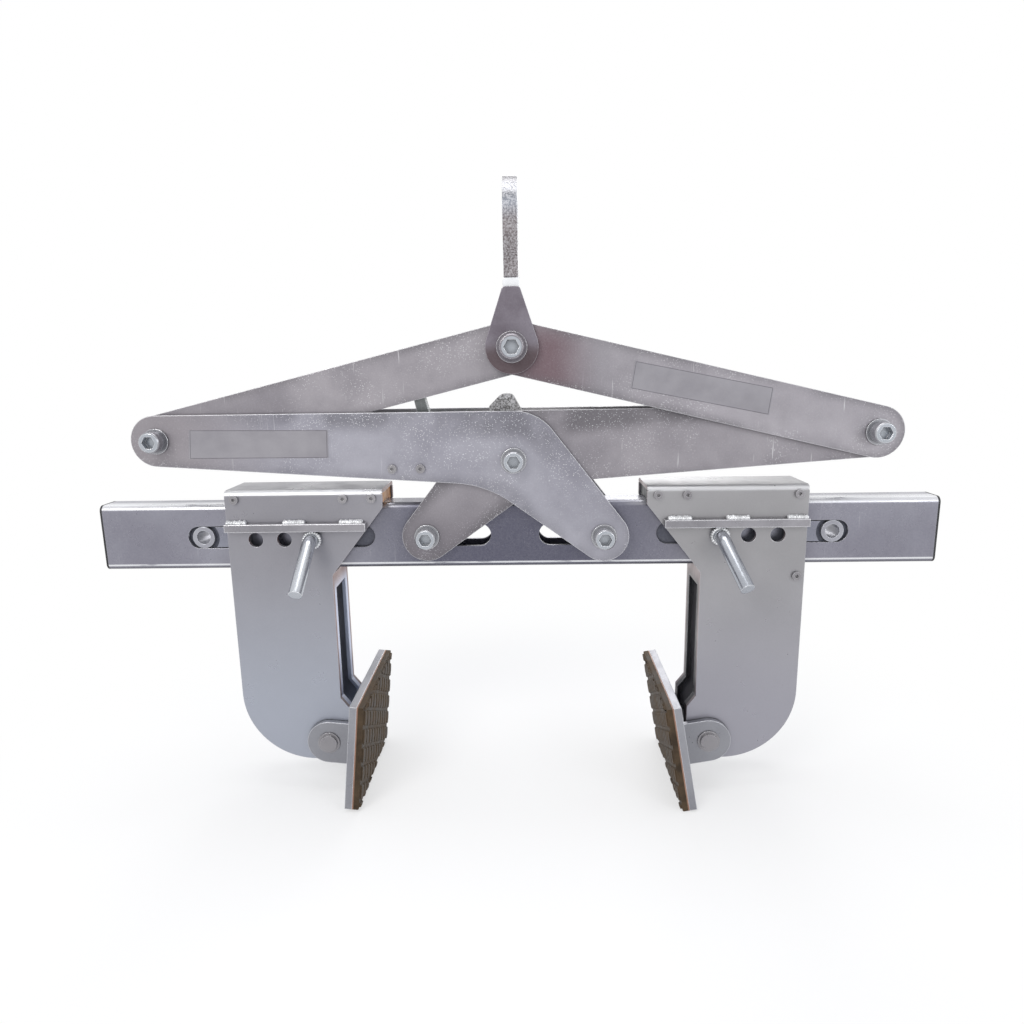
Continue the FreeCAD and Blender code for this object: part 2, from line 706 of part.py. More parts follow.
def make_guide_screws(word, side):
    screws = []
    for place in ("first", "second", "third"):
        for name, depth in (("front", FRONT), ("rear", REAR)):
            screws.append(small_screw(f"{word}_{name}_guide_screw_{place}", f"{side} * small_screw_{place}",
                                      "small_screw_rise", depth, "leg_half_deep",
                                      "(leg_wall + small_screw_bite)"))
    if side > 0:
        screws.append(small_screw(word + "_stop_screw", "stop_screw_reach", "-stop_screw_drop", FRONT,
                                  "leg_half_deep", "leg_wall"))
    node(word + "_guide_screws", screws)


# Locking pins: a bent round bar with a collar

def make_locking_pin(word, side, turn):
    """The pin lies through the leg and the first sleeve; its handle droops and is turned about the pin."""
    face = -(v.leg_half_deep + v.lock_collar_thick + v.lock_neck)
    run = v.elbow_run
    tail = v.leg_half_deep + v.lock_tail
    elbow = FreeCAD.Vector(0, face - run, 0)
    aim = FreeCAD.Vector(0, -math.cos(droop), -math.sin(droop))
    start = FreeCAD.Vector(0, tail, 0)
    bend_in = elbow + FreeCAD.Vector(0, run, 0)
    bend_out = elbow + aim * run
    middle_aim = (FreeCAD.Vector(0, 1, 0) + aim).normalize()
    middle = elbow + middle_aim * (v.lock_bend / math.cos(droop / 2) - v.lock_bend)
    end = elbow + aim * v.lock_handle
    runs = [Part.LineSegment(start, bend_in), Part.Arc(bend_in, middle, bend_out),
            Part.LineSegment(bend_out, end)]
    path = Part.Wire([run.toShape() for run in runs])
    ring = Part.Wire([Part.Circle(start, FreeCAD.Vector(0, -1, 0), v.lock_round).toShape()])
    shape = path.makePipeShell([ring], True, False)
    item = doc.addObject("Part::Feature", word + "_lock_bar")
    item.Shape = shape
    collar = rod(word + "_lock_collar", "0", "0",
                 ("-leg_half_deep - lock_collar_thick", "-leg_half_deep"), "lock_collar_round")
    node(word + "_locking_pin", [fuse(word + "_lock", [item, collar])],
         (f"{side} * sleeve_first", "depth_shift", "beam_height"), FreeCAD.Vector(0, 1, 0), turn)


# Pads, drawn about their hinge pin as the right pad, whose rubber faces the middle

def make_pad(word, side, lean):
    place = (f"{side} * pad_pin_reach", "depth_shift", "beam_height - pad_pin_drop")
    turn = (FreeCAD.Vector(0, 1, 0), -side * lean)
    z_span = ("pad_rise - pad_high / 2", "pad_rise + pad_high / 2")
    steel_span = side_span(-side, "pad_back", "pad_back + pad_steel")
    back = box(word + "_pad_back", steel_span, both("pad_deep / 2"), z_span)
    ears = []
    for name, depth in (("front", FRONT), ("rear", REAR)):
        outline = [(0, 0, v.ear_round, 1), (v.pad_back, -v.ear_round, 0, 1), (v.pad_back, v.ear_round, 0, 1)]
        span = layer(depth, "ear_layer", "ear_face")
        ears.append(plate(f"{word}_{name}_ear", mirrored(outline, -side), span,
                          [(0, 0, "pad_pin_round + seat_fit")]))
    node(word + "_pad_bracket", [fuse(word + "_bracket", [back] + ears)], place, *turn)

    far = "pad_back + pad_steel + pad_rubber"
    block = box(word + "_rubber_block", side_span(-side, "pad_back + pad_steel", far), both("pad_deep / 2"),
                z_span)
    inside = v.pad_high - 2 * v.pad_frame
    step = inside / ROWS_COUNT
    grooves = []
    for row in range(ROWS_COUNT + 1):
        middle = v.pad_rise - inside / 2 + row * step
        size(f"{word}_groove_{chr(97 + row)}_rise", middle)
        grooves.append(box(f"{word}_groove_{row}",
                           side_span(-side, f"{far} - pad_groove_deep", f"{far} + cut_overrun"),
                           both("pad_deep / 2 - pad_frame"),
                           (f"{word}_groove_{chr(97 + row)}_rise - pad_groove / 2",
                            f"{word}_groove_{chr(97 + row)}_rise + pad_groove / 2")))
    node(word + "_pad_rubber", [without(word + "_rubber", block, grooves)], place, *turn)

    ends = "ear_face + pad_pin_over"
    pin = rod(word + "_pad_pin_bar", "0", "0", both(ends), "pad_pin_round")
    clips = [tube(f"{word}_{name}_clip", "0", "0", layer(depth, "ear_face", "ear_face + clip_thick"),
                  "clip_round", "pad_pin_round + seat_fit")
             for name, depth in (("front", FRONT), ("rear", REAR))]
    node(word + "_pad_pin_set", [pin] + clips, place, *turn)


# Scissor levers and upper arms

def link_layers(name):
    """Front and rear depth spans for the outer or the inner layer of links."""
    near = name + "_layer"
    return [(name, layer(depth, near, near + " + link_thick"))
            for name, depth in (("front", FRONT), ("rear", REAR))]


def make_lever(word, side, layer_name):
    """A bent lever: its long arm reaches the outer bolt on one side, its short arm the slide on the other."""
    outline = [(v.low_pin_reach, 0, v.link_round, 1), (0, v.centre_rise, v.hub_round, 1),
               (-v.outer_pin_reach, v.outer_pin_rise, v.link_round, 1),
               (-v.throat_reach, v.centre_rise - v.throat_drop, v.throat_round, -1)]
    circles = [(-side * v.low_pin_reach, 0, "bolt_round + low_pin_play"),
               (0, v.centre_rise, "bolt_round + run_fit"),
               (side * v.outer_pin_reach, v.outer_pin_rise, "bolt_round + seat_fit")]
    if side < 0:
        circles += [(-reach, v.bracket_screw_rise, "small_screw_round + seat_fit")
                    for reach in (v.bracket_screw_first, v.bracket_screw_second)]
    for depth_word, y_span in link_layers(layer_name):
        name = f"{word}_lever_{depth_word}_plate"
        node(name, [plate(name + "_body", mirrored(outline, -side), y_span, circles)])


def make_arm(word, side, layer_name):
    """A straight arm from the outer bolt to the top bolt."""
    ends = [(v.outer_pin_reach, v.outer_pin_rise, v.link_round, 1), (0, v.top_pin_rise, v.link_round, 1)]
    circles = [(side * v.outer_pin_reach, v.outer_pin_rise, "bolt_round + run_fit"),
               (0, v.top_pin_rise, "top_bolt_round + top_pin_play")]
    for depth_word, y_span in link_layers(layer_name):
        name = f"{word}_arm_{depth_word}_plate"
        node(name, [plate(name + "_body", mirrored(ends, side), y_span, circles)])


def make_scissor():
    make_lever("left", -1, "outer")
    make_lever("right", 1, "inner")
    make_arm("left", -1, "inner")
    make_arm("right", 1, "outer")
    for word, side in SIDES:
        x = f"{side} * outer_pin_reach"
        node(word + "_outer_bolt", [cap_screw(word + "_outer", x, "outer_pin_rise",
                                              "outer_seat + washer_thick", "screw_end")])
        spacers = [(both("inner_layer - face_gap"), "bolt_head_round")]
        node(word + "_outer_nut_set",
             nut_and_washers(word + "_outer", x, "outer_pin_rise", "outer_seat", spacers))
    node("centre_bolt", [cap_screw("centre", "0", "centre_rise", "outer_seat + washer_thick", "screw_end")])
    spacers = [(layer(depth, "guide_thick / 2 + face_gap", "inner_layer - face_gap"), "bolt_head_round")
               for depth in (FRONT, REAR)]
    node("centre_nut_set", nut_and_washers("centre", "0", "centre_rise", "outer_seat", spacers))
    node("latch_rod", [rod("latch_rod_bar", "-latch_rod_reach", "latch_rod_rise", both("inner_layer"),
                           "latch_rod_round")])


# Hook: teardrop side plates, bridge, lifting eye and top bolt

def make_hook():
    top = v.top_pin_rise
    half = v.hook_top_half - v.hook_top_round
    outline = [(0, top, v.hook_plate_round, 1),
               (half, top + v.hook_top_rise - v.hook_top_round, v.hook_top_round, 1),
               (-half, top + v.hook_top_rise - v.hook_top_round, v.hook_top_round, 1)]
    for name, depth in (("front", FRONT), ("rear", REAR)):
        flat = plate(f"hook_{name}_body", outline, layer(depth, "hook_layer", "hook_face"),
                     [(0, top, "top_bolt_round + seat_fit")])
        node(f"hook_{name}_plate", [flat])
    node("hook_bridge", [box("bridge_block", both("bridge_half"), both("hook_layer"),
                             ("top_pin_rise + bridge_low", "top_pin_rise + bridge_top"))])
    foot = top + v.bridge_top
    eye = [(-v.eye_foot_half, foot, 0, 1), (v.eye_foot_half, foot, 0, 1),
           (0, top + v.eye_rise, v.eye_round, 1)]
    body = extruded("eye_body", "YZ_Plane", [belt(eye)], "eye_thick", [(0, top + v.eye_rise, "eye_bore")])
    node("lifting_eye", [body])
    node("top_bolt", [cap_screw("top", "0", "top_pin_rise", "hook_face + washer_thick", "top_screw_end",
                                "top")])
    spacers = [(both("inner_layer - face_gap"), "top_head_round")]
    spacers += [(layer(depth, "hook_layer - thrust_thick", "hook_layer"), "thrust_round")
                for depth in (FRONT, REAR)]
    node("top_nut_set", nut_and_washers("top", "0", "top_pin_rise", "hook_face", spacers, "top"))


# Hold-open latch between the left lever's plates

def make_latch():
    bar = box("bracket_bar", ("-bracket_left", "-bracket_right"), both("outer_layer"),
              ("bracket_low", "bracket_top"))
    lugs = []
    for name, depth in (("front", FRONT), ("rear", REAR)):
        outline = [(-v.latch_reach - v.latch_boss_round, v.bracket_low, 0, 1),
                   (-v.latch_reach + v.latch_boss_round, v.bracket_low, 0, 1),
                   (-v.latch_reach, v.latch_rise, v.latch_boss_round, 1)]
        near = "latch_thick / 2 + bracket_gap"
        lugs.append(plate(f"bracket_{name}_lug", outline, layer(depth, near, near + " + bracket_lug"),
                          [(-v.latch_reach, v.latch_rise, "latch_pin_round + seat_fit")]))
    holes = [rod(f"bracket_hole_{place}", f"-bracket_screw_{place}", "bracket_screw_rise",
                 both("outer_layer"), "small_screw_round + seat_fit") for place in ("first", "second")]
    node("latch_bracket", [without("bracket_drilled", fuse("bracket", [bar] + lugs), holes)])
    node("latch_pin", [rod("latch_pin_bar", "-latch_reach", "latch_rise",
                           both("latch_thick / 2 + bracket_gap + bracket_lug"), "latch_pin_round")])
    screws = [small_screw(f"bracket_{name}_screw_{place}", f"-bracket_screw_{place}", "bracket_screw_rise",
                          depth, "(outer_layer + link_thick)", "(link_thick + small_screw_bite)")
              for place in ("first", "second") for name, depth in (("front", FRONT), ("rear", REAR))]
    node("latch_screws", screws)
    rise = v.latch_rod_rise - v.latch_rise
    reach = v.latch_reach - v.latch_rod_reach
    over = rise + v.latch_rod_round + v.latch_clear
    beyond = reach + v.latch_rod_round + v.latch_clear
    half = v.latch_stem_half
    outline = [(0, 0, v.latch_boss_round - v.latch_clear, 1), (half, over, 0, 1),
               (beyond, over, 0, 1), (beyond, over - v.latch_tip, 0, 1),
               (beyond + v.latch_nose / 2, over - v.latch_tip, 0, 1),
               (beyond + v.latch_nose / 2, over + v.latch_nose / 2, v.latch_nose / 4, 1),
               (-half + v.latch_nose / 2, over + v.latch_nose / 2, v.latch_nose / 2, 1)]
    hook = plate("latch_hook_body", outline, both("latch_thick / 2"), [(0, 0, "latch_pin_round + run_fit")])
    node("latch_hook", [hook], ("-latch_reach", "depth_shift", "beam_height + latch_rise"),
         FreeCAD.Vector(0, 1, 0), -v.latch_lean)


make_beam()
make_centre_guide()
for word, side in SIDES:
    make_slide(word, side)
    make_leg(word, side)
make_locking_pin("left", -1, v.left_handle_turn)
make_locking_pin("right", 1, -v.right_handle_turn)
make_pad("left", -1, v.left_pad_lean)
make_pad("right", 1, v.right_pad_lean)
make_scissor()
make_hook()
make_latch()

# Build, check and write every sub-part

doc.recompute()
faults = [item.Label for item in doc.Objects if "Invalid" in item.State or "Error" in item.State]
faults += [item.Label for item in NODES if item.Shape.isNull() or not item.Shape.isValid()]
if faults:
    raise RuntimeError("not built: " + ", ".join(faults))
os.makedirs("parts", exist_ok=True)
for item in NODES:
    item.Shape.exportStep(f"parts/{item.Label}.step")
print(len(NODES), "sub-parts")
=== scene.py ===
import json
import math

import bmesh
import bpy
from mathutils import Matrix, Vector


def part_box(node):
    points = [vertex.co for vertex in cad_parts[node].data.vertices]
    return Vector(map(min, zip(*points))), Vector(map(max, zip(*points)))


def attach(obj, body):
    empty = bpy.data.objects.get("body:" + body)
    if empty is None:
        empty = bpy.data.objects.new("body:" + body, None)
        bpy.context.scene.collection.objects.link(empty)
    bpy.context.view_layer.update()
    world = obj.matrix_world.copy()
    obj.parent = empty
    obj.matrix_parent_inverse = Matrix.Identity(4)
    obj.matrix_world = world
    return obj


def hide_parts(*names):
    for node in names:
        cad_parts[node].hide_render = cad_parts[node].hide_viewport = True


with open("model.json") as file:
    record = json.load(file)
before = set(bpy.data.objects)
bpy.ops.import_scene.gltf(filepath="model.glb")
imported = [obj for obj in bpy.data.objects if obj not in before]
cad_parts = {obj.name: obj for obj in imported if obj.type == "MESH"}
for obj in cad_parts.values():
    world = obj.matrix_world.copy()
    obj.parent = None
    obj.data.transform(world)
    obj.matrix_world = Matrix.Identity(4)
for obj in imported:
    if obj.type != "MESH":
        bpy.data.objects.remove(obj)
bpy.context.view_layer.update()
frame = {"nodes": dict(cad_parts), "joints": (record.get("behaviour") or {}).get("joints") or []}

# The looks of a zinc plated lifting clamp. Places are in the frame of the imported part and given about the
# beam's axis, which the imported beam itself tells. Lengths are in metres, or in millimetres where a comment
# says so.

MM = 0.001
JOINTS = {joint["name"]: joint for joint in frame["joints"]}
SIDES = (("left", -1), ("right", 1))


def middle_of(node):
    low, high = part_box(node)
    return (low + high) / 2


AXIS = middle_of("main_beam")


def at(x, y, z):
    """A place given in millimetres from the middle of the beam's axis."""
    return AXIS + Vector((x, y, z)) / 1000


# Nodes, for shaders and for geometry

def put(tree, kind, inputs=(), **settings):
    """One shader or geometry node; an input takes a value or another node's output."""
    made = tree.nodes.new(kind)
    for name, value in settings.items():
        setattr(made, name, value)
    for key, value in dict(inputs).items():
        if isinstance(value, bpy.types.NodeSocket):
            tree.links.new(value, made.inputs[key])
        else:
            made.inputs[key].default_value = value
    return made


def calc(tree, operation, *values):
    return put(tree, "ShaderNodeMath", dict(enumerate(values)), operation=operation).outputs[0]


def larger(tree, first, second):
    return calc(tree, "MAXIMUM", first, second)


def times(tree, first, second):
    return calc(tree, "MULTIPLY", first, second)


def vector(tree, operation, *values, result="Vector"):
    return put(tree, "ShaderNodeVectorMath", dict(enumerate(values)), operation=operation).outputs[result]


def part_of(tree, value, axis):
    """One of a vector's three parts."""
    return put(tree, "ShaderNodeSeparateXYZ", {0: value}).outputs[axis]


def steps(tree, value, low, high, start=0.0, end=1.0):
    """Value from low to high turned smoothly into start to end."""
    made = put(tree, "ShaderNodeMapRange", {"Value": value, "From Min": low, "From Max": high,
                                            "To Min": start, "To Max": end}, interpolation_type="SMOOTHSTEP")
    return made.outputs[0]


# Camera: turns in radians, places in millimetres from the middle of the beam's axis

CAMERA_TURN, CAMERA_DROP, CAMERA_ROLL = 0.0235, 0.2035, 0.0159
CAMERA_BACK, CAMERA_SIDE, CAMERA_RISE = 1088.0, -4.587, 253.6
LENS, SENSOR = 25.6, 36.0
NEAR_CLIP, FAR_CLIP = 0.01, 200.0


def make_camera():
    """A camera that looks along Y, turned by its three small angles."""
    c, s = math.cos(CAMERA_TURN), math.sin(CAMERA_TURN)
    cp, sp = math.cos(CAMERA_DROP), math.sin(CAMERA_DROP)
    cr, sr = math.cos(CAMERA_ROLL), math.sin(CAMERA_ROLL)
    level = Vector((c, s, 0))
    raised = Vector((-sp * s, sp * c, cp))
    ahead = Vector((-cp * s, cp * c, -sp))
    right = level * cr - raised * sr
    up = level * sr + raised * cr
    place = at(CAMERA_SIDE * c + CAMERA_BACK * s, CAMERA_SIDE * s - CAMERA_BACK * c, CAMERA_RISE)
    data = bpy.data.cameras.new("camera")
    data.lens = LENS
    data.sensor_width = SENSOR
    data.clip_start = NEAR_CLIP
    data.clip_end = FAR_CLIP
    camera = bpy.data.objects.new("camera", data)
    bpy.context.scene.collection.objects.link(camera)
    turn = Matrix((right, up, -ahead)).transposed()
    camera.matrix_world = Matrix.Translation(place) @ turn.to_4x4()
    bpy.context.scene.camera = camera


# Background, floor and lamps

WHITE = (1, 1, 1, 1)
SKY_TONE, SKY_STRENGTH = (0.94, 0.96, 1.0, 1), 0.55
FLOOR_TONE, FLOOR_HALF = (0.92, 0.92, 0.93, 1), 9.0
FLOOR_FADE = (0.38, 0.95, 0.55, 1.0)      # between these distances its white grows from share to share
LAMP_AIM = (0, 0, 0.45)
LAMPS = (("key_lamp", (-1.5, -2.4, 2.4), 1.6, 40, (1.0, 0.985, 0.96)),
         ("fill_lamp", (2.3, -2.2, 1.4), 1.6, 18, (0.96, 0.98, 1.0)),
         ("top_lamp", (0.0, 0.2, 3.0), 1.8, 30, (1.0, 1.0, 1.0)),
         ("back_lamp", (0.4, 2.6, 1.8), 1.6, 18, (1.0, 1.0, 1.0)))


def seen_rays(tree):
    """1 for the rays that show the white background: those of the camera, of gloss and of glass."""
    path = put(tree, "ShaderNodeLightPath")
    return larger(tree, larger(tree, path.outputs["Is Camera Ray"], path.outputs["Is Glossy Ray"]),
                  path.outputs["Is Transmission Ray"])


def make_studio():
    scene = bpy.context.scene
    scene.view_settings.view_transform = "Standard"
    world = bpy.data.worlds.new("studio")
    world.use_nodes = True
    scene.world = world
    tree = world.node_tree
    tree.nodes.clear()
    shown = put(tree, "ShaderNodeBackground", {"Color": WHITE, "Strength": 1.0})
    light = put(tree, "ShaderNodeBackground", {"Color": SKY_TONE, "Strength": SKY_STRENGTH})
    mix = put(tree, "ShaderNodeMixShader", {0: seen_rays(tree), 1: light.outputs[0], 2: shown.outputs[0]})
    put(tree, "ShaderNodeOutputWorld", {"Surface": mix.outputs[0]})

    paper, tree = new_material("pale_floor")
    matt = put(tree, "ShaderNodeBsdfDiffuse", {"Color": FLOOR_TONE})
    white = put(tree, "ShaderNodeEmission", {"Color": WHITE, "Strength": 1.0})
    far = vector(tree, "LENGTH", object_place(tree), result="Value")
    share = times(tree, seen_rays(tree), steps(tree, far, *FLOOR_FADE))
    mix = put(tree, "ShaderNodeMixShader", {0: share, 1: matt.outputs[0], 2: white.outputs[0]})
    put(tree, "ShaderNodeOutputMaterial", {"Surface": mix.outputs[0]})
    mesh = bpy.data.meshes.new("floor")
    corners = [(x * FLOOR_HALF, y * FLOOR_HALF, 0) for x, y in ((-1, -1), (1, -1), (1, 1), (-1, 1))]
    mesh.from_pydata(corners, [], [(0, 1, 2, 3)])
    mesh.materials.append(paper)
    floor = bpy.data.objects.new("floor", mesh)
    scene.collection.objects.link(floor)

    for name, place, size, watts, colour in LAMPS:
        data = bpy.data.lights.new(name, "AREA")
        data.shape = "DISK"
        data.size = size
        data.energy = watts
        data.color = colour
        lamp = bpy.data.objects.new(name, data)
        lamp.location = place
        lamp.rotation_mode = "QUATERNION"
        lamp.rotation_quaternion = (Vector(LAMP_AIM) - Vector(place)).to_track_quat("-Z", "Y")
        scene.collection.objects.link(lamp)


# Parts of the finishes

def new_material(name):
    material = bpy.data.materials.new(name)
    material.use_nodes = True
    material.node_tree.nodes.clear()
    return material, material.node_tree


def object_place(tree):
    return put(tree, "ShaderNodeTexCoord").outputs["Object"]


def stretched(tree, coordinates, scale):
    """Object coordinates drawn out by a scale for each axis."""
    return put(tree, "ShaderNodeMapping", {"Vector": coordinates, "Scale": scale}).outputs[0]


def noise(tree, coordinates, scale, detail=2.0, rough=0.5):
    return put(tree, "ShaderNodeTexNoise", {"Vector": coordinates, "Scale": scale, "Detail": detail,
                                            "Roughness": rough}).outputs["Fac"]


def tinted(tree, share, first, second):
    made = put(tree, "ShaderNodeMix", {0: share}, data_type="RGBA")
    for index, value in ((6, first), (7, second)):
        if isinstance(value, bpy.types.NodeSocket):
            tree.links.new(value, made.inputs[index])
        else:
            made.inputs[index].default_value = (*value, 1)
    return made.outputs[2]


def shaded(tone, share):
    return tuple(c * share for c in tone)


def rounded_edges(tree, radius):
    """The rounded normal of the edges, and a mask that is 1 on an edge and 0 on a flat."""
    rounded = put(tree, "ShaderNodeBevel", {"Radius": radius}, samples=6).outputs[0]
    true_normal = put(tree, "ShaderNodeNewGeometry").outputs["Normal"]
    alike = vector(tree, "DOT_PRODUCT", rounded, true_normal, result="Value")
    return rounded, steps(tree, alike, 0.995, 0.90)


def bumped(tree, height, strength, distance, **more):
    inputs = {"Height": height, "Strength": strength, "Distance": distance, **more}
    return put(tree, "ShaderNodeBump", inputs).outputs[0]


def finish(tree, colour, dullness, normal, **more):
    """The surface that ends a material."""
    inputs = {"Base Color": colour, "Roughness": dullness, "Normal": normal, **more}
    skin = put(tree, "ShaderNodeBsdfPrincipled", inputs)
    put(tree, "ShaderNodeOutputMaterial", {"Surface": skin.outputs[0]})


def mask(tree, *parts):
    """The product of smooth steps. A part is (kind, axis, low, high), and its kind says what is measured: the
    place, its distance from the beam's axis (away) or the way that the surface faces (facing)."""
    coordinates = put(tree, "ShaderNodeTexCoord")
    found = None
    for kind, axis, low, high in parts:
        value = part_of(tree, coordinates.outputs["Normal" if kind == "facing" else "Object"], axis)
        if kind == "away":
            value = calc(tree, "ABSOLUTE", calc(tree, "SUBTRACT", value, AXIS[axis]))
        step = steps(tree, value, low, high)
        found = times(tree, found, step) if found else step
    return found


def stars(tree, where, scale, size, keep):
    """Crisp round dots of about one size, of which only a share is kept."""
    cells = put(tree, "ShaderNodeTexVoronoi", {"Vector": where, "Scale": scale})
    dot = steps(tree, cells.outputs["Distance"], size, size * 0.6)
    chance = part_of(tree, cells.outputs["Color"], 0)
    return times(tree, dot, steps(tree, chance, 1 - keep, 1.02 - keep))


def flat_place(tree):
    """The place as seen along Y."""
    return vector(tree, "MULTIPLY", object_place(tree), (1.0, 0.0, 1.0))


def flat_middle(node):
    middle = middle_of(node)
    return Vector((middle.x, 0.0, middle.z))


def least(tree, values):
    found = None
    for value in values:
        found = value if found is None else calc(tree, "MINIMUM", found, value)
    return found


def near_axes(tree, nodes, low, high):
    """1 within low of the centre line of any of these bolts, seen along Y, and 0 past high."""
    flat = flat_place(tree)
    reaches = [vector(tree, "DISTANCE", flat, tuple(flat_middle(node)), result="Value") for node in nodes]
    return steps(tree, least(tree, reaches), high, low)


def off_lines(tree, lines, low, high):
    """0 within low of the lines from bolt to bolt, seen along Y, and 1 past high: the margins of a link."""
    flat = flat_place(tree)
    reaches = []
    for first, second in lines:
        start = flat_middle(first)
        run = flat_middle(second) - start
        out = vector(tree, "SUBTRACT", flat, tuple(start))
        share = vector(tree, "DOT_PRODUCT", out, tuple(run / run.length_squared), result="Value")
        share = put(tree, "ShaderNodeClamp", {0: share}).outputs[0]
        along = put(tree, "ShaderNodeVectorMath", {0: tuple(run), "Scale": share}, operation="SCALE")
        reaches.append(vector(tree, "DISTANCE", out, along.outputs[0], result="Value"))
    return steps(tree, least(tree, reaches), low, high)


# Finishes. A scale counts a pattern's waves in a metre.

SPANGLE_SCALE, SPANGLE_TONE = 420.0, (0.85, 0.85, 0.88)
DUST_SCALE, BLOTCH_SCALE = 11.0, 9.0
SPECK_TONE = (0.86, 0.86, 0.89)
LARGE_SPECKS, SMALL_SPECKS = (210.0, 0.15, 0.35), (470.0, 0.27, 0.6)
SCRATCH_STRETCH, SCRATCH_PATCH_SCALE, SCRATCH_TONE = (330.0, 330.0, 14.0), 16.0, (0.88, 0.88, 0.90)
# the streaks and the near white tone of painted highlights
HIGHLIGHT_STRETCH, HIGHLIGHT_TONE = (22.0, 160.0, 160.0), (0.95, 0.96, 0.98)
SOCKET_TONE = (0.42, 0.445, 0.485)
DULL_SCALE = 28.0
PLASTIC_GRAIN_SCALE = 900.0
STAIN_START = (-0.200, -0.197)            # along X, from clean to stained


def zinc(name, dark, light, specks=0.6, scratches=0.4, rough=0.42, metallic=0.6, edge=0.0013, patch=7.0,
         grain=0.16, edge_highlight_tone=(0.72, 0.72, 0.76), edge_highlight_share=0.55, band=None, tints=(), highlights=(),
         sockets=None, shade_reach=0.007):
    """Zinc plate: cloudy tone, fine white specks in patches, faint scratches, painted highlights on its edges
    and painted shade in its corners and crevices.

    Off the lines of band the tone is darker and the specks closer. tints are (masks, tone, share), laid on in
    order, and places of painted highlight are given by masks in the same way. sockets are the bolts whose
    middles are bright, and the reach of that. The edge tone and its share set the highlight painted along the
    edges, and the last argument sets how far the painted shade of corners reaches.
    """
    material, tree = new_material(name)
    where = object_place(tree)
    rounded, edges = rounded_edges(tree, edge)
    fine = noise(tree, where, SPANGLE_SCALE, 3.0, 0.6)
    tone = tinted(tree, steps(tree, noise(tree, where, patch, 5.0, 0.58), 0.30, 0.70), dark, light)
    for masks, tint, share in tints:
        tone = tinted(tree, times(tree, mask(tree, *masks), share), tone, tint)
    patches = steps(tree, noise(tree, where, DUST_SCALE, 4.0, 0.6), 0.46, 0.66)
    if band:
        blotches = steps(tree, noise(tree, where, BLOTCH_SCALE, 3.0, 0.5), 0.38, 0.58, 0.15, 1.0)
        rim = times(tree, off_lines(tree, *band), blotches)
        tone = tinted(tree, times(tree, rim, 0.7), tone, shaded(dark, 0.45))
        patches = larger(tree, patches, rim)
    if sockets:
        tone = tinted(tree, near_axes(tree, *sockets), tone, SOCKET_TONE)
    tone = tinted(tree, steps(tree, fine, 0.35, 0.65, 0.0, grain), tone, SPANGLE_TONE)

    dots = larger(tree, stars(tree, where, *LARGE_SPECKS), stars(tree, where, *SMALL_SPECKS))
    spread = steps(tree, patches, 0.0, 1.0, 0.12, 1.0)
    dusted = times(tree, larger(tree, spread, edges), times(tree, dots, specks))
    tone = tinted(tree, dusted, tone, SPECK_TONE)
    lines = steps(tree, noise(tree, stretched(tree, where, SCRATCH_STRETCH), 1.0), 0.66, 0.76)
    hatch = times(tree, lines, steps(tree, noise(tree, where, SCRATCH_PATCH_SCALE), 0.48, 0.62))
    tone = tinted(tree, times(tree, hatch, scratches), tone, SCRATCH_TONE)
    # painted highlight: each mask, broken into streaks, lightens the tone towards the near white highlight
    # tone
    for masks, share in highlights:
        wobble = steps(tree, noise(tree, stretched(tree, where, HIGHLIGHT_STRETCH), 1.0, 4.0), 0.22, 0.42)
        tone = tinted(tree, times(tree, times(tree, mask(tree, *masks), wobble), share), tone, HIGHLIGHT_TONE)
    # painted highlight: the edges are lightened towards the edge tone
    tone = tinted(tree, times(tree, edges, edge_highlight_share), tone, edge_highlight_tone)
    # painted shade: where ambient occlusion finds corners and crevices, the tone is darkened
    occlusion = put(tree, "ShaderNodeAmbientOcclusion", {"Distance": shade_reach}, samples=4).outputs["AO"]
    tone = tinted(tree, steps(tree, occlusion, 0.75, 0.25, 0.0, 0.62), tone, shaded(dark, 0.15))

    dullness = steps(tree, noise(tree, where, DULL_SCALE, 4.0, 0.6), 0.3, 0.7, rough - 0.07, rough + 0.08)
    bump = bumped(tree, times(tree, fine, min(1.0, grain * 5)), 0.12, 0.0005, Normal=rounded)
    finish(tree, tone, dullness, bump, Metallic=metallic)
    return material


def matt_plastic(name, tone, paler, rough=0.55):
    """Moulded plastic with a fine grain, paler in cloudy patches and along its edges."""
    material, tree = new_material(name)
    where = object_place(tree)
    rounded, edges = rounded_edges(tree, 0.0009)
    clouds = steps(tree, noise(tree, where, 24.0, 4.0, 0.6), 0.4, 0.75)
    colour = tinted(tree, larger(tree, times(tree, clouds, 0.5), times(tree, edges, 0.6)), tone, paler)
    bump = bumped(tree, noise(tree, where, PLASTIC_GRAIN_SCALE), 0.2, 0.0003, Normal=rounded)
    finish(tree, colour, steps(tree, clouds, 0.0, 1.0, rough, rough - 0.12), bump)
    return material


def sliding_plastic(name, side):
    """Dark sliding plastic; the left one's inner end is stained orange."""
    material, tree = new_material(name)
    where = object_place(tree)
    rounded, edges = rounded_edges(tree, 0.0012)
    clouds = steps(tree, noise(tree, where, 60.0, 4.0, 0.6), 0.3, 0.7)
    colour = tinted(tree, clouds, (0.03, 0.03, 0.035), (0.11, 0.11, 0.12))
    if side < 0:
        end = steps(tree, part_of(tree, where, 0), *STAIN_START)
        stain = tinted(tree, clouds, (0.48, 0.17, 0.025), (0.78, 0.36, 0.09))
        colour = tinted(tree, end, colour, stain)
    colour = tinted(tree, times(tree, edges, 0.5), colour, (0.30, 0.28, 0.26))
    bump = bumped(tree, noise(tree, where, PLASTIC_GRAIN_SCALE), 0.2, 0.0003, Normal=rounded)
    finish(tree, colour, steps(tree, clouds, 0.0, 1.0, 0.5, 0.38), bump)
    return material


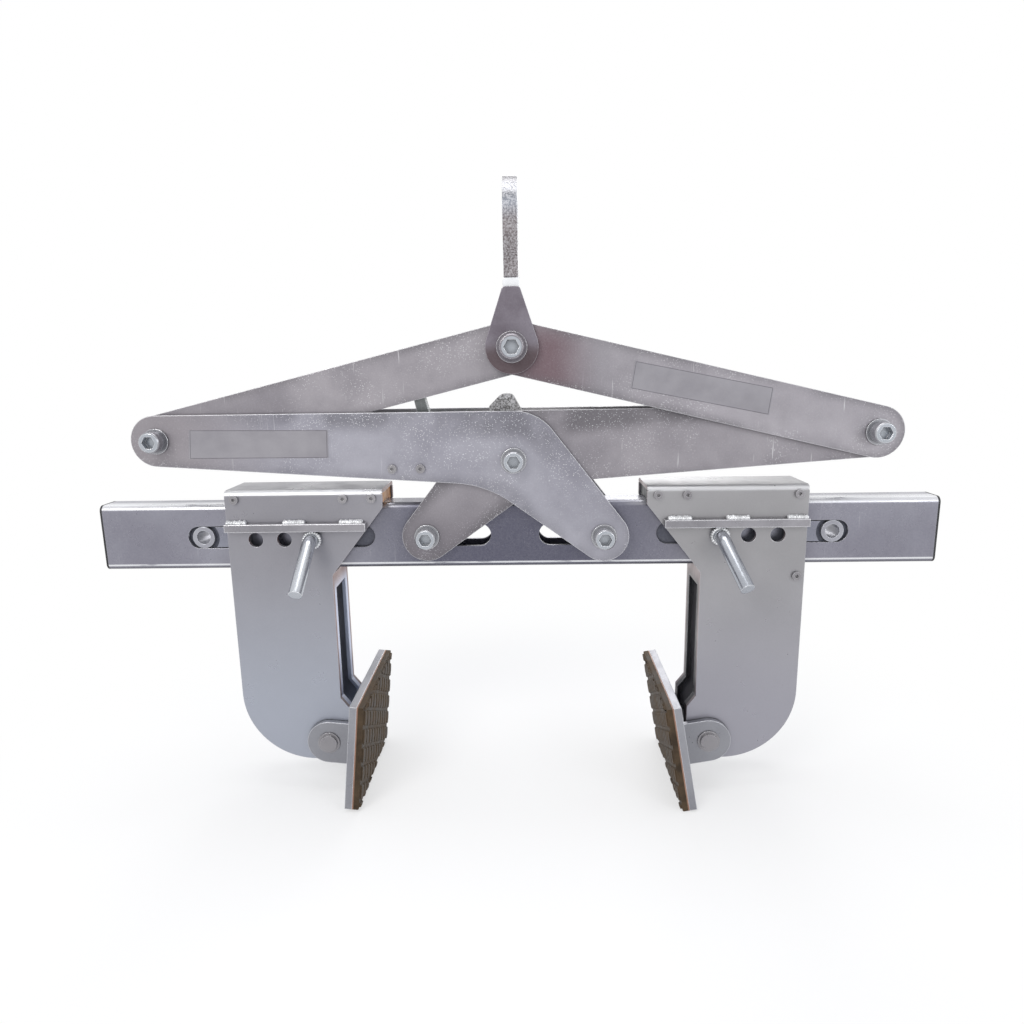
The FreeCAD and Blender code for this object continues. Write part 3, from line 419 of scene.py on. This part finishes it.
def brown_rubber(name):
    """Dark olive brown rubber, paler along its edges and in dusty specks, with a slight shine."""
    material, tree = new_material(name)
    where = object_place(tree)
    rounded, edges = rounded_edges(tree, 0.0012)
    clouds = steps(tree, noise(tree, where, 30.0, 5.0, 0.6), 0.3, 0.7)
    colour = tinted(tree, clouds, (0.030, 0.019, 0.010), (0.085, 0.056, 0.032))
    dust = steps(tree, noise(tree, where, 300.0, 3.0, 0.6), 0.55, 0.75, 0.0, 0.12)
    colour = tinted(tree, larger(tree, times(tree, edges, 0.30), dust), colour, (0.22, 0.15, 0.09))
    bump = bumped(tree, noise(tree, where, 1300.0), 0.3, 0.0004, Normal=rounded)
    finish(tree, colour, steps(tree, clouds, 0.0, 1.0, 0.50, 0.66), bump, **{"Specular IOR Level": 0.22})
    return material


def weld_metal(name, tone):
    """Bright rippled weld, ground in places."""
    material, tree = new_material(name)
    where = object_place(tree)
    clouds = steps(tree, noise(tree, where, 180.0, 4.0, 0.6), 0.32, 0.68)
    colour = tinted(tree, clouds, shaded(tone, 0.6), tone)
    bump = bumped(tree, noise(tree, where, 520.0, 3.0, 0.6), 0.7, 0.0008)
    finish(tree, colour, steps(tree, clouds, 0.0, 1.0, 0.44, 0.24), bump, Metallic=0.5)
    return material


def clear_label(name, tone, shade):
    """The thin film of a blank plate, slightly smoother than the steel under it."""
    material, tree = new_material(name)
    where = object_place(tree)
    clouds = steps(tree, noise(tree, where, 14.0, 5.0, 0.6), 0.3, 0.7)
    creases = noise(tree, stretched(tree, where, (60.0, 60.0, 500.0)), 1.0)
    colour = tinted(tree, clouds, shade, tone)
    bump = bumped(tree, creases, 0.08, 0.0003)
    finish(tree, colour, steps(tree, clouds, 0.0, 1.0, 0.30, 0.42), bump, Metallic=0.45)
    return material


# Pieces

def add_piece(name, mesh, body, slot, *stands_for):
    piece = bpy.data.objects.new(name, mesh)
    bpy.context.scene.collection.objects.link(piece)
    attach(piece, body)
    if stands_for:
        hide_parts(*stands_for)


def new_tree(name, **sockets):
    """A geometry tree with one input for each socket; Blender writes its name with spaces."""
    tree = bpy.data.node_groups.new(name, "GeometryNodeTree")
    tree.interface.new_socket("Geometry", in_out="INPUT", socket_type="NodeSocketGeometry")
    for label, kind in sockets.items():
        tree.interface.new_socket(label.replace("_", " "), in_out="INPUT", socket_type="NodeSocket" + kind)
    tree.interface.new_socket("Geometry", in_out="OUTPUT", socket_type="NodeSocketGeometry")
    return tree, put(tree, "NodeGroupInput").outputs, put(tree, "NodeGroupOutput")


def end_tree(tree, geometry, given, out):
    """The step that ends a tree: its Finish on all that it made."""
    done = put(tree, "GeometryNodeSetMaterial", {"Geometry": geometry, "Material": given["Finish"]})
    tree.links.new(done.outputs[0], out.inputs[0])


def grown(name, source, tree, inputs):
    """A plain mesh of what a geometry tree makes of the source's mesh or curve."""
    carrier = bpy.data.objects.new(name + "_source", source)
    bpy.context.scene.collection.objects.link(carrier)
    modifier = carrier.modifiers.new("grow", "NODES")
    modifier.node_group = tree
    for item in tree.interface.items_tree:
        if item.item_type == "SOCKET" and item.in_out == "INPUT" and item.name in inputs:
            modifier[item.identifier] = inputs[item.name]
    bpy.context.view_layer.update()
    ready = carrier.evaluated_get(bpy.context.evaluated_depsgraph_get())
    mesh = bpy.data.meshes.new_from_object(ready)
    mesh.name = name
    carrier.modifiers.clear()
    bpy.data.objects.remove(carrier)
    return mesh


def turn_outwards(mesh):
    build = bmesh.new()
    build.from_mesh(mesh)
    bmesh.ops.recalc_face_normals(build, faces=build.faces)
    build.to_mesh(mesh)
    build.free()


# Pads: millimetres, as the source has them, and what this script adds. Leans are in degrees.

PAD_BACK, PAD_STEEL, PAD_RUBBER = 40.5, 11.0, 13.4
PAD_DEEP, PAD_HIGH, PAD_RISE = 219.0, 166.0, 8.4
PAD_FRAME, LUG_HIGH, SLAB_RIM = 3.0, 3.2, 1.2
LUG_ROWS, LUGS = 11, 10
ROW_PITCH, ROW_FALL, ROW_GAP, LUG_GAP = 30.2, 112.0, 2.6, 2.2
PRIMER_THICK, PRIMER_RIM = 2.0, 0.3
PAD_LEANS = {"left": 5.85, "right": 9.86}
MERGE_WITHIN = 0.05


def lug_tree():
    """Rounded lugs in slanting rows over a flat pad, cut off at its rim, each a swollen block."""
    tree, given, out = new_tree(
        "pad_lugs", Rows="Int", Lugs="Int", Row_Length="Float", Column_Length="Float", Lug_Size="Vector",
        Fall="Float", Shift="Vector", Last_Row="Float", Rim="Vector", Low_Rim="Vector", Finish="Material")

    def here():
        return put(tree, "GeometryNodeInputPosition").outputs[0]

    def slanted(geometry):
        fall = times(tree, part_of(tree, here(), 1), given["Fall"])
        offset = put(tree, "ShaderNodeCombineXYZ", {0: fall}).outputs[0]
        return put(tree, "GeometryNodeSetPosition", {"Geometry": geometry, "Offset": offset}).outputs[0]

    grid = put(tree, "GeometryNodeMeshGrid", {"Size X": given["Column Length"], "Size Y": given["Row Length"],
                                              "Vertices X": given["Rows"], "Vertices Y": given["Lugs"]})
    points = put(tree, "GeometryNodeMeshToPoints", {0: grid.outputs[0]})
    shifted = put(tree, "GeometryNodeSetPosition", {"Geometry": slanted(points.outputs[0]),
                                                    "Offset": given["Shift"]})
    outside = calc(tree, "GREATER_THAN", calc(tree, "ABSOLUTE", part_of(tree, here(), 0)), given["Last Row"])
    kept = put(tree, "GeometryNodeDeleteGeometry", {"Geometry": shifted.outputs[0], "Selection": outside})
    block = put(tree, "GeometryNodeMeshCube", {"Size": given["Lug Size"]})
    swollen = put(tree, "GeometryNodeSubdivisionSurface", {"Mesh": block.outputs[0], "Level": 1,
                                                           "Edge Crease": 0.8})
    placed = put(tree, "GeometryNodeInstanceOnPoints", {"Points": kept.outputs[0],
                                                        "Instance": slanted(swollen.outputs[0])})
    real = put(tree, "GeometryNodeRealizeInstances", {0: placed.outputs[0]})
    within = vector(tree, "MAXIMUM", vector(tree, "MINIMUM", here(), given["Rim"]), given["Low Rim"])
    trimmed = put(tree, "GeometryNodeSetPosition", {"Geometry": real.outputs[0], "Position": within})
    tidy = put(tree, "GeometryNodeMergeByDistance", {"Geometry": trimmed.outputs[0],
                                                     "Distance": MERGE_WITHIN * MM})
    joined = put(tree, "GeometryNodeJoinGeometry")
    tree.links.new(tidy.outputs[0], joined.inputs[0])
    tree.links.new(given["Geometry"], joined.inputs[0])
    end_tree(tree, joined.outputs[0], given, out)
    return tree


def slab_mesh(name, low, top, rim):
    """A slab as large as a pad, lying in X and Y between two heights, its upper edges rounded by rim."""
    build = bmesh.new()
    rings = []
    for inset, z in ((0.0, low), (0.0, top - rim), (rim * 0.3, top - rim * 0.3), (rim, top)):
        half_high, half_deep = (PAD_HIGH / 2 - inset) * MM, (PAD_DEEP / 2 - inset) * MM
        rings.append([build.verts.new((sx * half_high, sy * half_deep, z * MM))
                      for sx, sy in ((-1, -1), (1, -1), (1, 1), (-1, 1))])
    for lower, upper in zip(rings, rings[1:]):
        for index in range(4):
            following = (index + 1) % 4
            build.faces.new((lower[index], lower[following], upper[following], upper[index]))
    build.faces.new(list(reversed(rings[0])))
    build.faces.new(rings[-1])
    mesh = bpy.data.meshes.new(name)
    build.to_mesh(mesh)
    build.free()
    return mesh


def make_pads(rubber, primer):
    """Lugged rubber faces over a thin primed layer, each drawn lying flat, face up, and then stood up."""
    tree = lug_tree()
    slope, lug_pitch = ROW_FALL / PAD_DEEP, PAD_DEEP / LUGS
    high, deep = (PAD_HIGH / 2 - PAD_FRAME) * MM, (PAD_DEEP / 2 - PAD_FRAME) * MM
    slab_top = PAD_RUBBER - LUG_HIGH
    for word, side in SIDES:
        pin = Vector(JOINTS[word + "_pad_tilt"]["pos_m"])
        stand = Matrix(((0, 0, -side), (0, side, 0), (1, 0, 0))).to_4x4()
        out = Matrix.Translation((-side * (PAD_BACK + PAD_STEEL) * MM, 0, PAD_RISE * MM))
        lean = Matrix.Rotation(math.radians(-side * PAD_LEANS[word]), 4, "Y")
        place = Matrix.Translation(pin) @ lean @ out @ stand

        slab = slab_mesh(word + "_slab", PRIMER_THICK, slab_top, SLAB_RIM)
        pad = grown(word + "_lugged_pad", slab, tree, {
            "Rows": LUG_ROWS, "Lugs": LUGS, "Row Length": (LUGS - 1) * lug_pitch * MM,
            "Column Length": (LUG_ROWS - 1) * ROW_PITCH * MM, "Fall": -slope * side,
            "Lug Size": ((ROW_PITCH - ROW_GAP) * MM, (lug_pitch - LUG_GAP) * MM, 2 * LUG_HIGH * MM),
            "Shift": ((PAD_HIGH - ROW_FALL - ROW_PITCH) / 2 * MM, 0, slab_top * MM),
            "Last Row": high + (ROW_PITCH / 2 - 1) * MM, "Rim": (high, deep, 1.0),
            "Low Rim": (-high, -deep, -1.0), "Finish": rubber})
        layer = slab_mesh(word + "_primer", 0, PRIMER_THICK, PRIMER_RIM)
        layer.materials.append(primer)
        for mesh in (pad, layer):
            mesh.transform(place)
            turn_outwards(mesh)
        add_piece(word + "_lugged_pad", pad, word + "_pad", "pad_rubber", word + "_pad_rubber")
        add_piece(word + "_primer_layer", layer, word + "_pad", "pad_rubber")


# Welds: places in millimetres from the beam's axis. A bead is (pitch, radius, flatness).

RIB_STITCHES = ((399.0, 424.0), (311.0, 339.0), (226.0, 255.0))
STITCH_ROWS = ((46.2, 26.6), (48.6, 26.0))
STITCH_BEAD, STITCH_SEED = (0.0032, 0.0040, 0.8), 5
COLLAR_PLACE, COLLAR_ROUND, COLLAR_POINTS = (299.5, -50.6), 0.0118, 24
COLLAR_BEAD, COLLAR_SEED = (0.0034, 0.0029, 0.75), 9


def weld_tree():
    """Overlapping flattened beads along every spline of a curve, each a little different."""
    tree, given, out = new_tree("weld_beads", Pitch="Float", Radius="Float", Flatness="Float", Seed="Int",
                                Finish="Material")
    spaced = put(tree, "GeometryNodeResampleCurve", {"Curve": given["Geometry"], "Length": given["Pitch"]},
                 mode="LENGTH")
    bead = put(tree, "GeometryNodeMeshIcoSphere", {"Radius": 1.0, "Subdivisions": 2})
    tangent = put(tree, "GeometryNodeInputTangent")
    turn = put(tree, "FunctionNodeAlignRotationToVector", {"Vector": tangent.outputs[0]}, axis="X")
    wide = put(tree, "FunctionNodeRandomValue", {2: 0.8, 3: 1.15, "Seed": given["Seed"]}, data_type="FLOAT")
    girth = times(tree, wide.outputs[1], given["Radius"])
    along = times(tree, girth, given["Flatness"])
    scale = put(tree, "ShaderNodeCombineXYZ", {0: along, 1: girth, 2: girth})
    placed = put(tree, "GeometryNodeInstanceOnPoints", {
        "Points": spaced.outputs[0], "Instance": bead.outputs[0], "Rotation": turn.outputs[0],
        "Scale": scale.outputs[0]})
    real = put(tree, "GeometryNodeRealizeInstances", {0: placed.outputs[0]})
    smooth = put(tree, "GeometryNodeSetShadeSmooth", {0: real.outputs[0]})
    end_tree(tree, smooth.outputs[0], given, out)
    return tree


def spline_curve(name, paths):
    """One curve object's data; a path is (points, closed)."""
    curve = bpy.data.curves.new(name, "CURVE")
    curve.dimensions = "3D"
    for points, closed in paths:
        spline = curve.splines.new("POLY")
        spline.points.add(len(points) - 1)
        for knot, point in zip(spline.points, points):
            knot.co = (*point, 1)
        spline.use_cyclic_u = closed
    return curve


def make_leg_welds(weld):
    """Stitch welds over each rib, and the rough ring round the collar of each locking pin."""
    tree = weld_tree()

    def beads(name, body, slot, paths, bead, seed):
        pitch, radius, flatness = bead
        mesh = grown(name, spline_curve(name + "_path", paths), tree, {
            "Pitch": pitch, "Radius": radius, "Flatness": flatness, "Seed": seed, "Finish": weld})
        add_piece(name, mesh, body, slot)

    for word, side in SIDES:
        paths = [([at(side * reach, face * out, rise) for reach in stitch], False)
                 for face in (-1, 1) for stitch in RIB_STITCHES for out, rise in STITCH_ROWS]
        beads(word + "_rib_stitches", word + "_leg", "leg_zinc", paths, STITCH_BEAD, STITCH_SEED + side)
        centre = at(side * COLLAR_PLACE[0], COLLAR_PLACE[1], 0)
        ring = [centre + Vector((math.cos(turn), 0, math.sin(turn))) * COLLAR_ROUND
                for turn in (math.tau * step / COLLAR_POINTS for step in range(COLLAR_POINTS))]
        beads(word + "_collar_weld", word + "_lock", "pin_zinc", [(ring, True)], COLLAR_BEAD,
              COLLAR_SEED + side)


# Labels: corners in millimetres from the beam's axis, the rest in metres

LABEL_FRONT = -45.25
LEFT_LABEL = ((-471.5, 122.5), (-268.0, 121.5), (-266.5, 161.5), (-468.0, 164.0))
RIGHT_LABEL = ((166.0, 214.5), (362.0, 174.5), (367.0, 212.0), (172.0, 252.0))
LABEL_THICK, BORDER_LINE, BORDER_LIFT = 0.0002, 0.0007, 0.00006
BORDER_SHARE = 0.985


def label_mesh(name, corners, film, ink):
    """A thin plate on the given front corners, with a hairline border set on it."""
    build = bmesh.new()
    back, lift = Vector((0, LABEL_THICK, 0)), Vector((0, -BORDER_LIFT, 0))
    middle = sum(corners, Vector()) / 4
    face = [build.verts.new(c) for c in corners]
    rear = [build.verts.new(c + back) for c in corners]
    build.faces.new(face)
    build.faces.new(list(reversed(rear)))
    for index in range(4):
        following = (index + 1) % 4
        build.faces.new((face[following], face[index], rear[index], rear[following]))
    spots = [middle + (c - middle) * BORDER_SHARE + lift for c in corners]
    outer = [build.verts.new(spot) for spot in spots]
    inner = []
    for index, c in enumerate(corners):
        before, after = corners[index - 1], corners[(index + 1) % 4]
        inwards = (before - c).normalized() + (after - c).normalized()
        inner.append(build.verts.new(spots[index] + inwards * BORDER_LINE))
    for index in range(4):
        following = (index + 1) % 4
        strip = build.faces.new((outer[index], outer[following], inner[following], inner[index]))
        strip.material_index = 1
    mesh = bpy.data.meshes.new(name)
    build.to_mesh(mesh)
    build.free()
    mesh.materials.append(film)
    mesh.materials.append(ink)
    return mesh


def make_labels(film, ink):
    """Blank plates where the real one is lettered."""
    for name, places, body in (("left_blank_label", LEFT_LABEL, "left_lever"),
                               ("right_blank_label", RIGHT_LABEL, "right_arm")):
        corners = [at(x, LABEL_FRONT, z) for x, z in places]
        add_piece(name, label_mesh(name, corners, film, ink), body, "link_zinc")


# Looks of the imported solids

FRONT = ("facing", 1, -0.5, -0.9)
# faces that look up and forwards, where a painted highlight lies along the bends
UPPER_BEND = (("facing", 2, 0.10, 0.35), ("facing", 1, 0.05, -0.10))
# near white tones of the highlights painted on edges
EDGE_HIGHLIGHT_WHITE, EDGE_HIGHLIGHT_BRIGHT = (0.93, 0.93, 0.96), (0.95, 0.95, 0.98)


def dress(material, *names):
    for name in names:
        node = frame["nodes"][name]
        node.data.materials.clear()
        node.data.materials.append(material)


def height(low, high):
    """A mask part that steps between two heights, given from the beam's axis."""
    return "place", 2, AXIS.z + low, AXIS.z + high


def dress_beam():
    outer = ("away", 0, 0.14, 0.26)
    top = (("facing", 2, 0.8, 0.95), ("place", 1, AXIS.y + 0.006, AXIS.y - 0.010), outer)
    low_bend = (("facing", 2, -0.02, -0.12), ("facing", 2, -0.40, -0.25))
    # painted shade: the beam's front darkened towards its middle, in the shade of the levers, and faces that
    # look down darkened; painted highlights on its upper bend, the front of its top and its lower bend
    beam = zinc("drawn_beam_zinc", (0.215, 0.21, 0.255), (0.31, 0.31, 0.36), specks=0.25, scratches=0.1,
                rough=0.30, grain=0.04, edge=0.0012, patch=4.0, edge_highlight_share=0.4,
                tints=(((("away", 0, 0.30, 0.10), FRONT), (0.075, 0.075, 0.115), 0.85),
                       ((("facing", 2, -0.35, -0.7),), (0.08, 0.08, 0.10), 0.8)),
                highlights=((UPPER_BEND + (outer,), 0.55), (top, 0.6), (low_bend, 0.7)))
    dress(beam, "main_beam")
    cap = matt_plastic("end_cap_plastic", (0.012, 0.012, 0.014), (0.05, 0.05, 0.055))
    dress(cap, "left_end_cap", "right_end_cap")
    guide = zinc("guide_zinc", (0.10, 0.095, 0.095), (0.20, 0.195, 0.19), specks=1.6, scratches=0.1,
                 patch=20.0, grain=0.6, edge_highlight_tone=(0.8, 0.8, 0.8))
    dress(guide, "centre_guide_plate")


def dress_links():
    near_lines = (("left_outer_bolt", "centre_bolt"), ("centre_bolt", "right_low_bolt"))
    far_lines = (("right_outer_bolt", "centre_bolt"), ("centre_bolt", "left_low_bolt"),
                 ("left_outer_bolt", "top_bolt"))
    arm_lines = (("right_outer_bolt", "top_bolt"),)
    # painted light: the front faces of the rear plates, which lie in shade between the plates, are painted
    # pale
    inner_face_light = ((FRONT, ("place", 1, AXIS.y + 0.01, AXIS.y + 0.02)), (0.62, 0.61, 0.62), 1.0)
    warm_end = ((("place", 0, -0.30, -0.50),), (0.29, 0.265, 0.28), 0.8)
    dark_foot = ((height(0.10, -0.02),), (0.17, 0.155, 0.175), 0.75)
    # painted reflection: a warm red tint on the arm plates near the middle, low down
    warm_reflection_end = ((("away", 0, 0.13, 0.05), height(0.34, 0.27)), (0.14, 0.08, 0.095), 0.85)
    near_links = zinc("outer_link_zinc", (0.262, 0.257, 0.302), (0.392, 0.387, 0.438), specks=0.95,
                      scratches=0.2, grain=0.03, band=(near_lines, 0.020, 0.048), edge=0.0018,
                      edge_highlight_tone=EDGE_HIGHLIGHT_WHITE, edge_highlight_share=0.8, tints=(warm_end, inner_face_light))
    far_links = zinc("inner_link_zinc", (0.237, 0.222, 0.246), (0.350, 0.330, 0.355), specks=0.7,
                     scratches=0.6, grain=0.03, band=(far_lines, 0.022, 0.046), edge=0.0016,
                     edge_highlight_tone=EDGE_HIGHLIGHT_WHITE, edge_highlight_share=0.75, tints=(dark_foot, inner_face_light))
    pale_links = zinc("pale_link_zinc", (0.27, 0.255, 0.28), (0.39, 0.37, 0.40), specks=0.8, scratches=0.5,
                      grain=0.03, band=(arm_lines, 0.022, 0.042), edge=0.0016, edge_highlight_tone=EDGE_HIGHLIGHT_WHITE,
                      edge_highlight_share=0.75, tints=(warm_reflection_end, inner_face_light))
    dress(near_links, "left_lever_front_plate", "left_lever_rear_plate")
    dress(far_links, "right_lever_front_plate", "right_lever_rear_plate", "left_arm_front_plate",
          "left_arm_rear_plate", "latch_bracket")
    dress(pale_links, "right_arm_front_plate", "right_arm_rear_plate")


def dress_hook():
    hook = zinc("hook_plate_zinc", (0.135, 0.115, 0.14), (0.235, 0.215, 0.25), specks=0.15, scratches=0.1,
                patch=12.0, grain=0.02, edge_highlight_tone=(0.66, 0.62, 0.68),
                tints=(((height(0.285, 0.262),), (0.09, 0.06, 0.065), 0.85),))
    dress(hook, "hook_front_plate", "hook_rear_plate")
    eye = zinc("eye_zinc", (0.10, 0.08, 0.085), (0.21, 0.18, 0.185), specks=1.2, scratches=0.2, rough=0.34,
               patch=22.0, grain=0.40, edge_highlight_tone=(0.85, 0.86, 0.90),
               tints=(((height(0.435, 0.465),), (0.23, 0.255, 0.305), 0.85),
                      ((("facing", 2, 0.25, 0.55),), (0.13, 0.13, 0.14), 0.85),
                      ((height(0.488, 0.493),), (0.10, 0.095, 0.105), 0.95)))
    dress(eye, "lifting_eye")
    # painted highlight: the bridge plate's zinc is painted near white, as glare on its top
    bridge_highlight = zinc("bridge_highlight_zinc", (0.75, 0.77, 0.80), (0.95, 0.96, 0.98), specks=0.5, scratches=0.1, rough=0.3,
                grain=0.05)
    dress(bridge_highlight, "hook_bridge")


def dress_fasteners():
    shown = ["centre_bolt", "left_low_bolt", "right_low_bolt", "left_outer_bolt", "right_outer_bolt"]
    bright = zinc("bolt_zinc", (0.28, 0.28, 0.305), (0.42, 0.425, 0.45), specks=0.1, scratches=0.0,
                  rough=0.26, metallic=0.75, grain=0.03, edge=0.0012, edge_highlight_tone=EDGE_HIGHLIGHT_BRIGHT, edge_highlight_share=0.85,
                  sockets=(shown, 0.0125, 0.0145), shade_reach=0.011)
    dark = zinc("top_bolt_zinc", (0.13, 0.115, 0.135), (0.21, 0.195, 0.22), specks=0.1, scratches=0.0,
                rough=0.28, metallic=0.7, grain=0.03, edge=0.0012, edge_highlight_tone=(0.93, 0.92, 0.95),
                edge_highlight_share=0.85, sockets=(["top_bolt"], 0.0130, 0.0150), shade_reach=0.011)
    screw = zinc("small_screw_zinc", (0.23, 0.22, 0.235), (0.33, 0.32, 0.335), specks=0.1, scratches=0.0,
                 rough=0.3, grain=0.03, edge=0.0007, edge_highlight_tone=(0.85, 0.85, 0.88), edge_highlight_share=0.6,
                 shade_reach=0.006)
    latch = zinc("latch_zinc", (0.16, 0.17, 0.17), (0.27, 0.285, 0.285), specks=0.3, scratches=0.1, rough=0.3,
                 grain=0.04, edge=0.003, edge_highlight_tone=(0.95, 0.96, 0.97), edge_highlight_share=0.9)
    dress(bright, "centre_bolt", "centre_nut_set", "latch_pin")
    dress(dark, "top_bolt", "top_nut_set")
    dress(screw, "latch_screws")
    dress(latch, "latch_rod", "latch_hook")
    for word, _ in SIDES:
        dress(bright, *(word + n for n in ("_low_bolt", "_low_nut_set", "_outer_bolt", "_outer_nut_set")))
        dress(screw, word + "_guide_screws", word + "_pad_pin_set")


def dress_slides():
    key = zinc("key_zinc", (0.19, 0.19, 0.24), (0.27, 0.28, 0.335), specks=0.1, scratches=0.1, rough=0.32,
               grain=0.04, edge=0.0008, edge_highlight_share=0.3)
    # painted shade: the bar inside the tube, seen through the slots, is painted dark, darker still towards
    # its outer ends
    bar = zinc("shaded_slide_bar_zinc", (0.068, 0.072, 0.095), (0.112, 0.116, 0.148), specks=0.1, scratches=0.0,
               rough=0.42, grain=0.04, tints=(((("away", 0, 0.430, 0.445),), (0.068, 0.074, 0.100), 0.9),))
    bush = zinc("sleeve_zinc", (0.27, 0.27, 0.31), (0.42, 0.425, 0.465), specks=0.1, scratches=0.0,
                rough=0.38, grain=0.04, edge=0.0014, edge_highlight_tone=(0.78, 0.80, 0.86), edge_highlight_share=0.8)
    for word, _ in SIDES:
        dress(key, word + "_slide_keys")
        dress(bar, word + "_slide_bar")
        dress(bush, word + "_slide_sleeves")


# For each leg: the tones of its upper and lower parts and the painted tone of the windows' inside (painted
# light, pale blue, in the left leg, and painted shade, near black, in the right), the share of a warm red
# painted reflection on its inner faces, which look towards the middle, and the share of painted highlight on
# its bend.
LEG_WARM_REFLECTION, LEG_FOOT = (0.25, 0.145, 0.135), (0.30, 0.31, 0.35)
LEG_TONES = {"left": ((0.255, 0.25, 0.275), (0.39, 0.415, 0.48), (0.60, 0.66, 0.83), 0.9, 0.75),
             "right": ((0.31, 0.305, 0.315), (0.33, 0.325, 0.37), (0.030, 0.031, 0.036), 0.55, 0.35)}


def dress_legs(rubber):
    ribs = zinc("rib_zinc", (0.22, 0.215, 0.235), (0.33, 0.32, 0.345), specks=0.3, scratches=0.1, rough=0.32,
                grain=0.04, edge=0.0022, edge_highlight_tone=EDGE_HIGHLIGHT_BRIGHT, edge_highlight_share=0.9)
    pin = zinc("pin_zinc", (0.34, 0.36, 0.40), (0.54, 0.56, 0.60), specks=0.1, scratches=0.1, rough=0.22,
               metallic=0.85, grain=0.04, edge=0.0016, edge_highlight_tone=(0.9, 0.9, 0.92))
    # painted highlight: a band of the legs' front just under the cap
    under_cap = (height(0.0635, 0.0755), FRONT)
    for word, side in SIDES:
        upper, lower, painted_window_inside, warm_reflection_share, bend_highlight = LEG_TONES[word]
        inside = (("away", 1, 0.0385, 0.0365), height(-0.06, -0.09), ("facing", 0, side * 0.9, side * 0.4),
                  ("facing", 2, -0.85, -0.5))
        # painted reflection: a warm red tint on faces that look towards the middle; painted light in the left
        # leg's windows and painted shade in the right's; painted highlights on the upper bend and under the
        # cap
        leg = zinc(word + "_leg_zinc", upper, shaded(upper, 1.22), specks=0.0, scratches=0.0, rough=0.34,
                   grain=0.02, edge=0.0014, patch=4.0,
                   tints=(((height(0.02, -0.30),), lower, 0.9), ((height(-0.33, -0.41),), LEG_FOOT, 0.5),
                          ((("facing", 0, -side * 0.4, -side * 0.9),), LEG_WARM_REFLECTION, warm_reflection_share),
                          (inside, painted_window_inside, 0.95)),
                   highlights=((UPPER_BEND, bend_highlight), (under_cap, 0.35)))
        dress(leg, word + "_leg_shell", word + "_leg_cap", word + "_pad_bush")
        dress(ribs, word + "_leg_ribs")
        dress(pin, word + "_locking_pin")
        dress(sliding_plastic(word + "_saddle_plastic", side), word + "_beam_saddles")
        pad = zinc(word + "_pad_zinc", (0.225, 0.227, 0.252), (0.31, 0.313, 0.34), specks=0.02, scratches=0.0,
                   rough=0.34, grain=0.04, edge=0.0018, edge_highlight_tone=(0.85, 0.86, 0.90), edge_highlight_share=0.75)
        dress(pad, word + "_pad_bracket")
        dress(rubber, word + "_pad_rubber")


make_camera()
make_studio()
rubber = brown_rubber("pad_rubber_brown")
dress_beam()
dress_links()
dress_hook()
dress_fasteners()
dress_slides()
dress_legs(rubber)
make_pads(rubber, matt_plastic("copper_primer", (0.26, 0.13, 0.085), (0.50, 0.30, 0.21), rough=0.45))
make_leg_welds(weld_metal("bright_weld", (0.93, 0.94, 0.96)))
make_labels(clear_label("blank_label_film", (0.33, 0.32, 0.345), (0.27, 0.26, 0.285)),
            matt_plastic("label_border", (0.12, 0.11, 0.13), (0.26, 0.25, 0.28)))
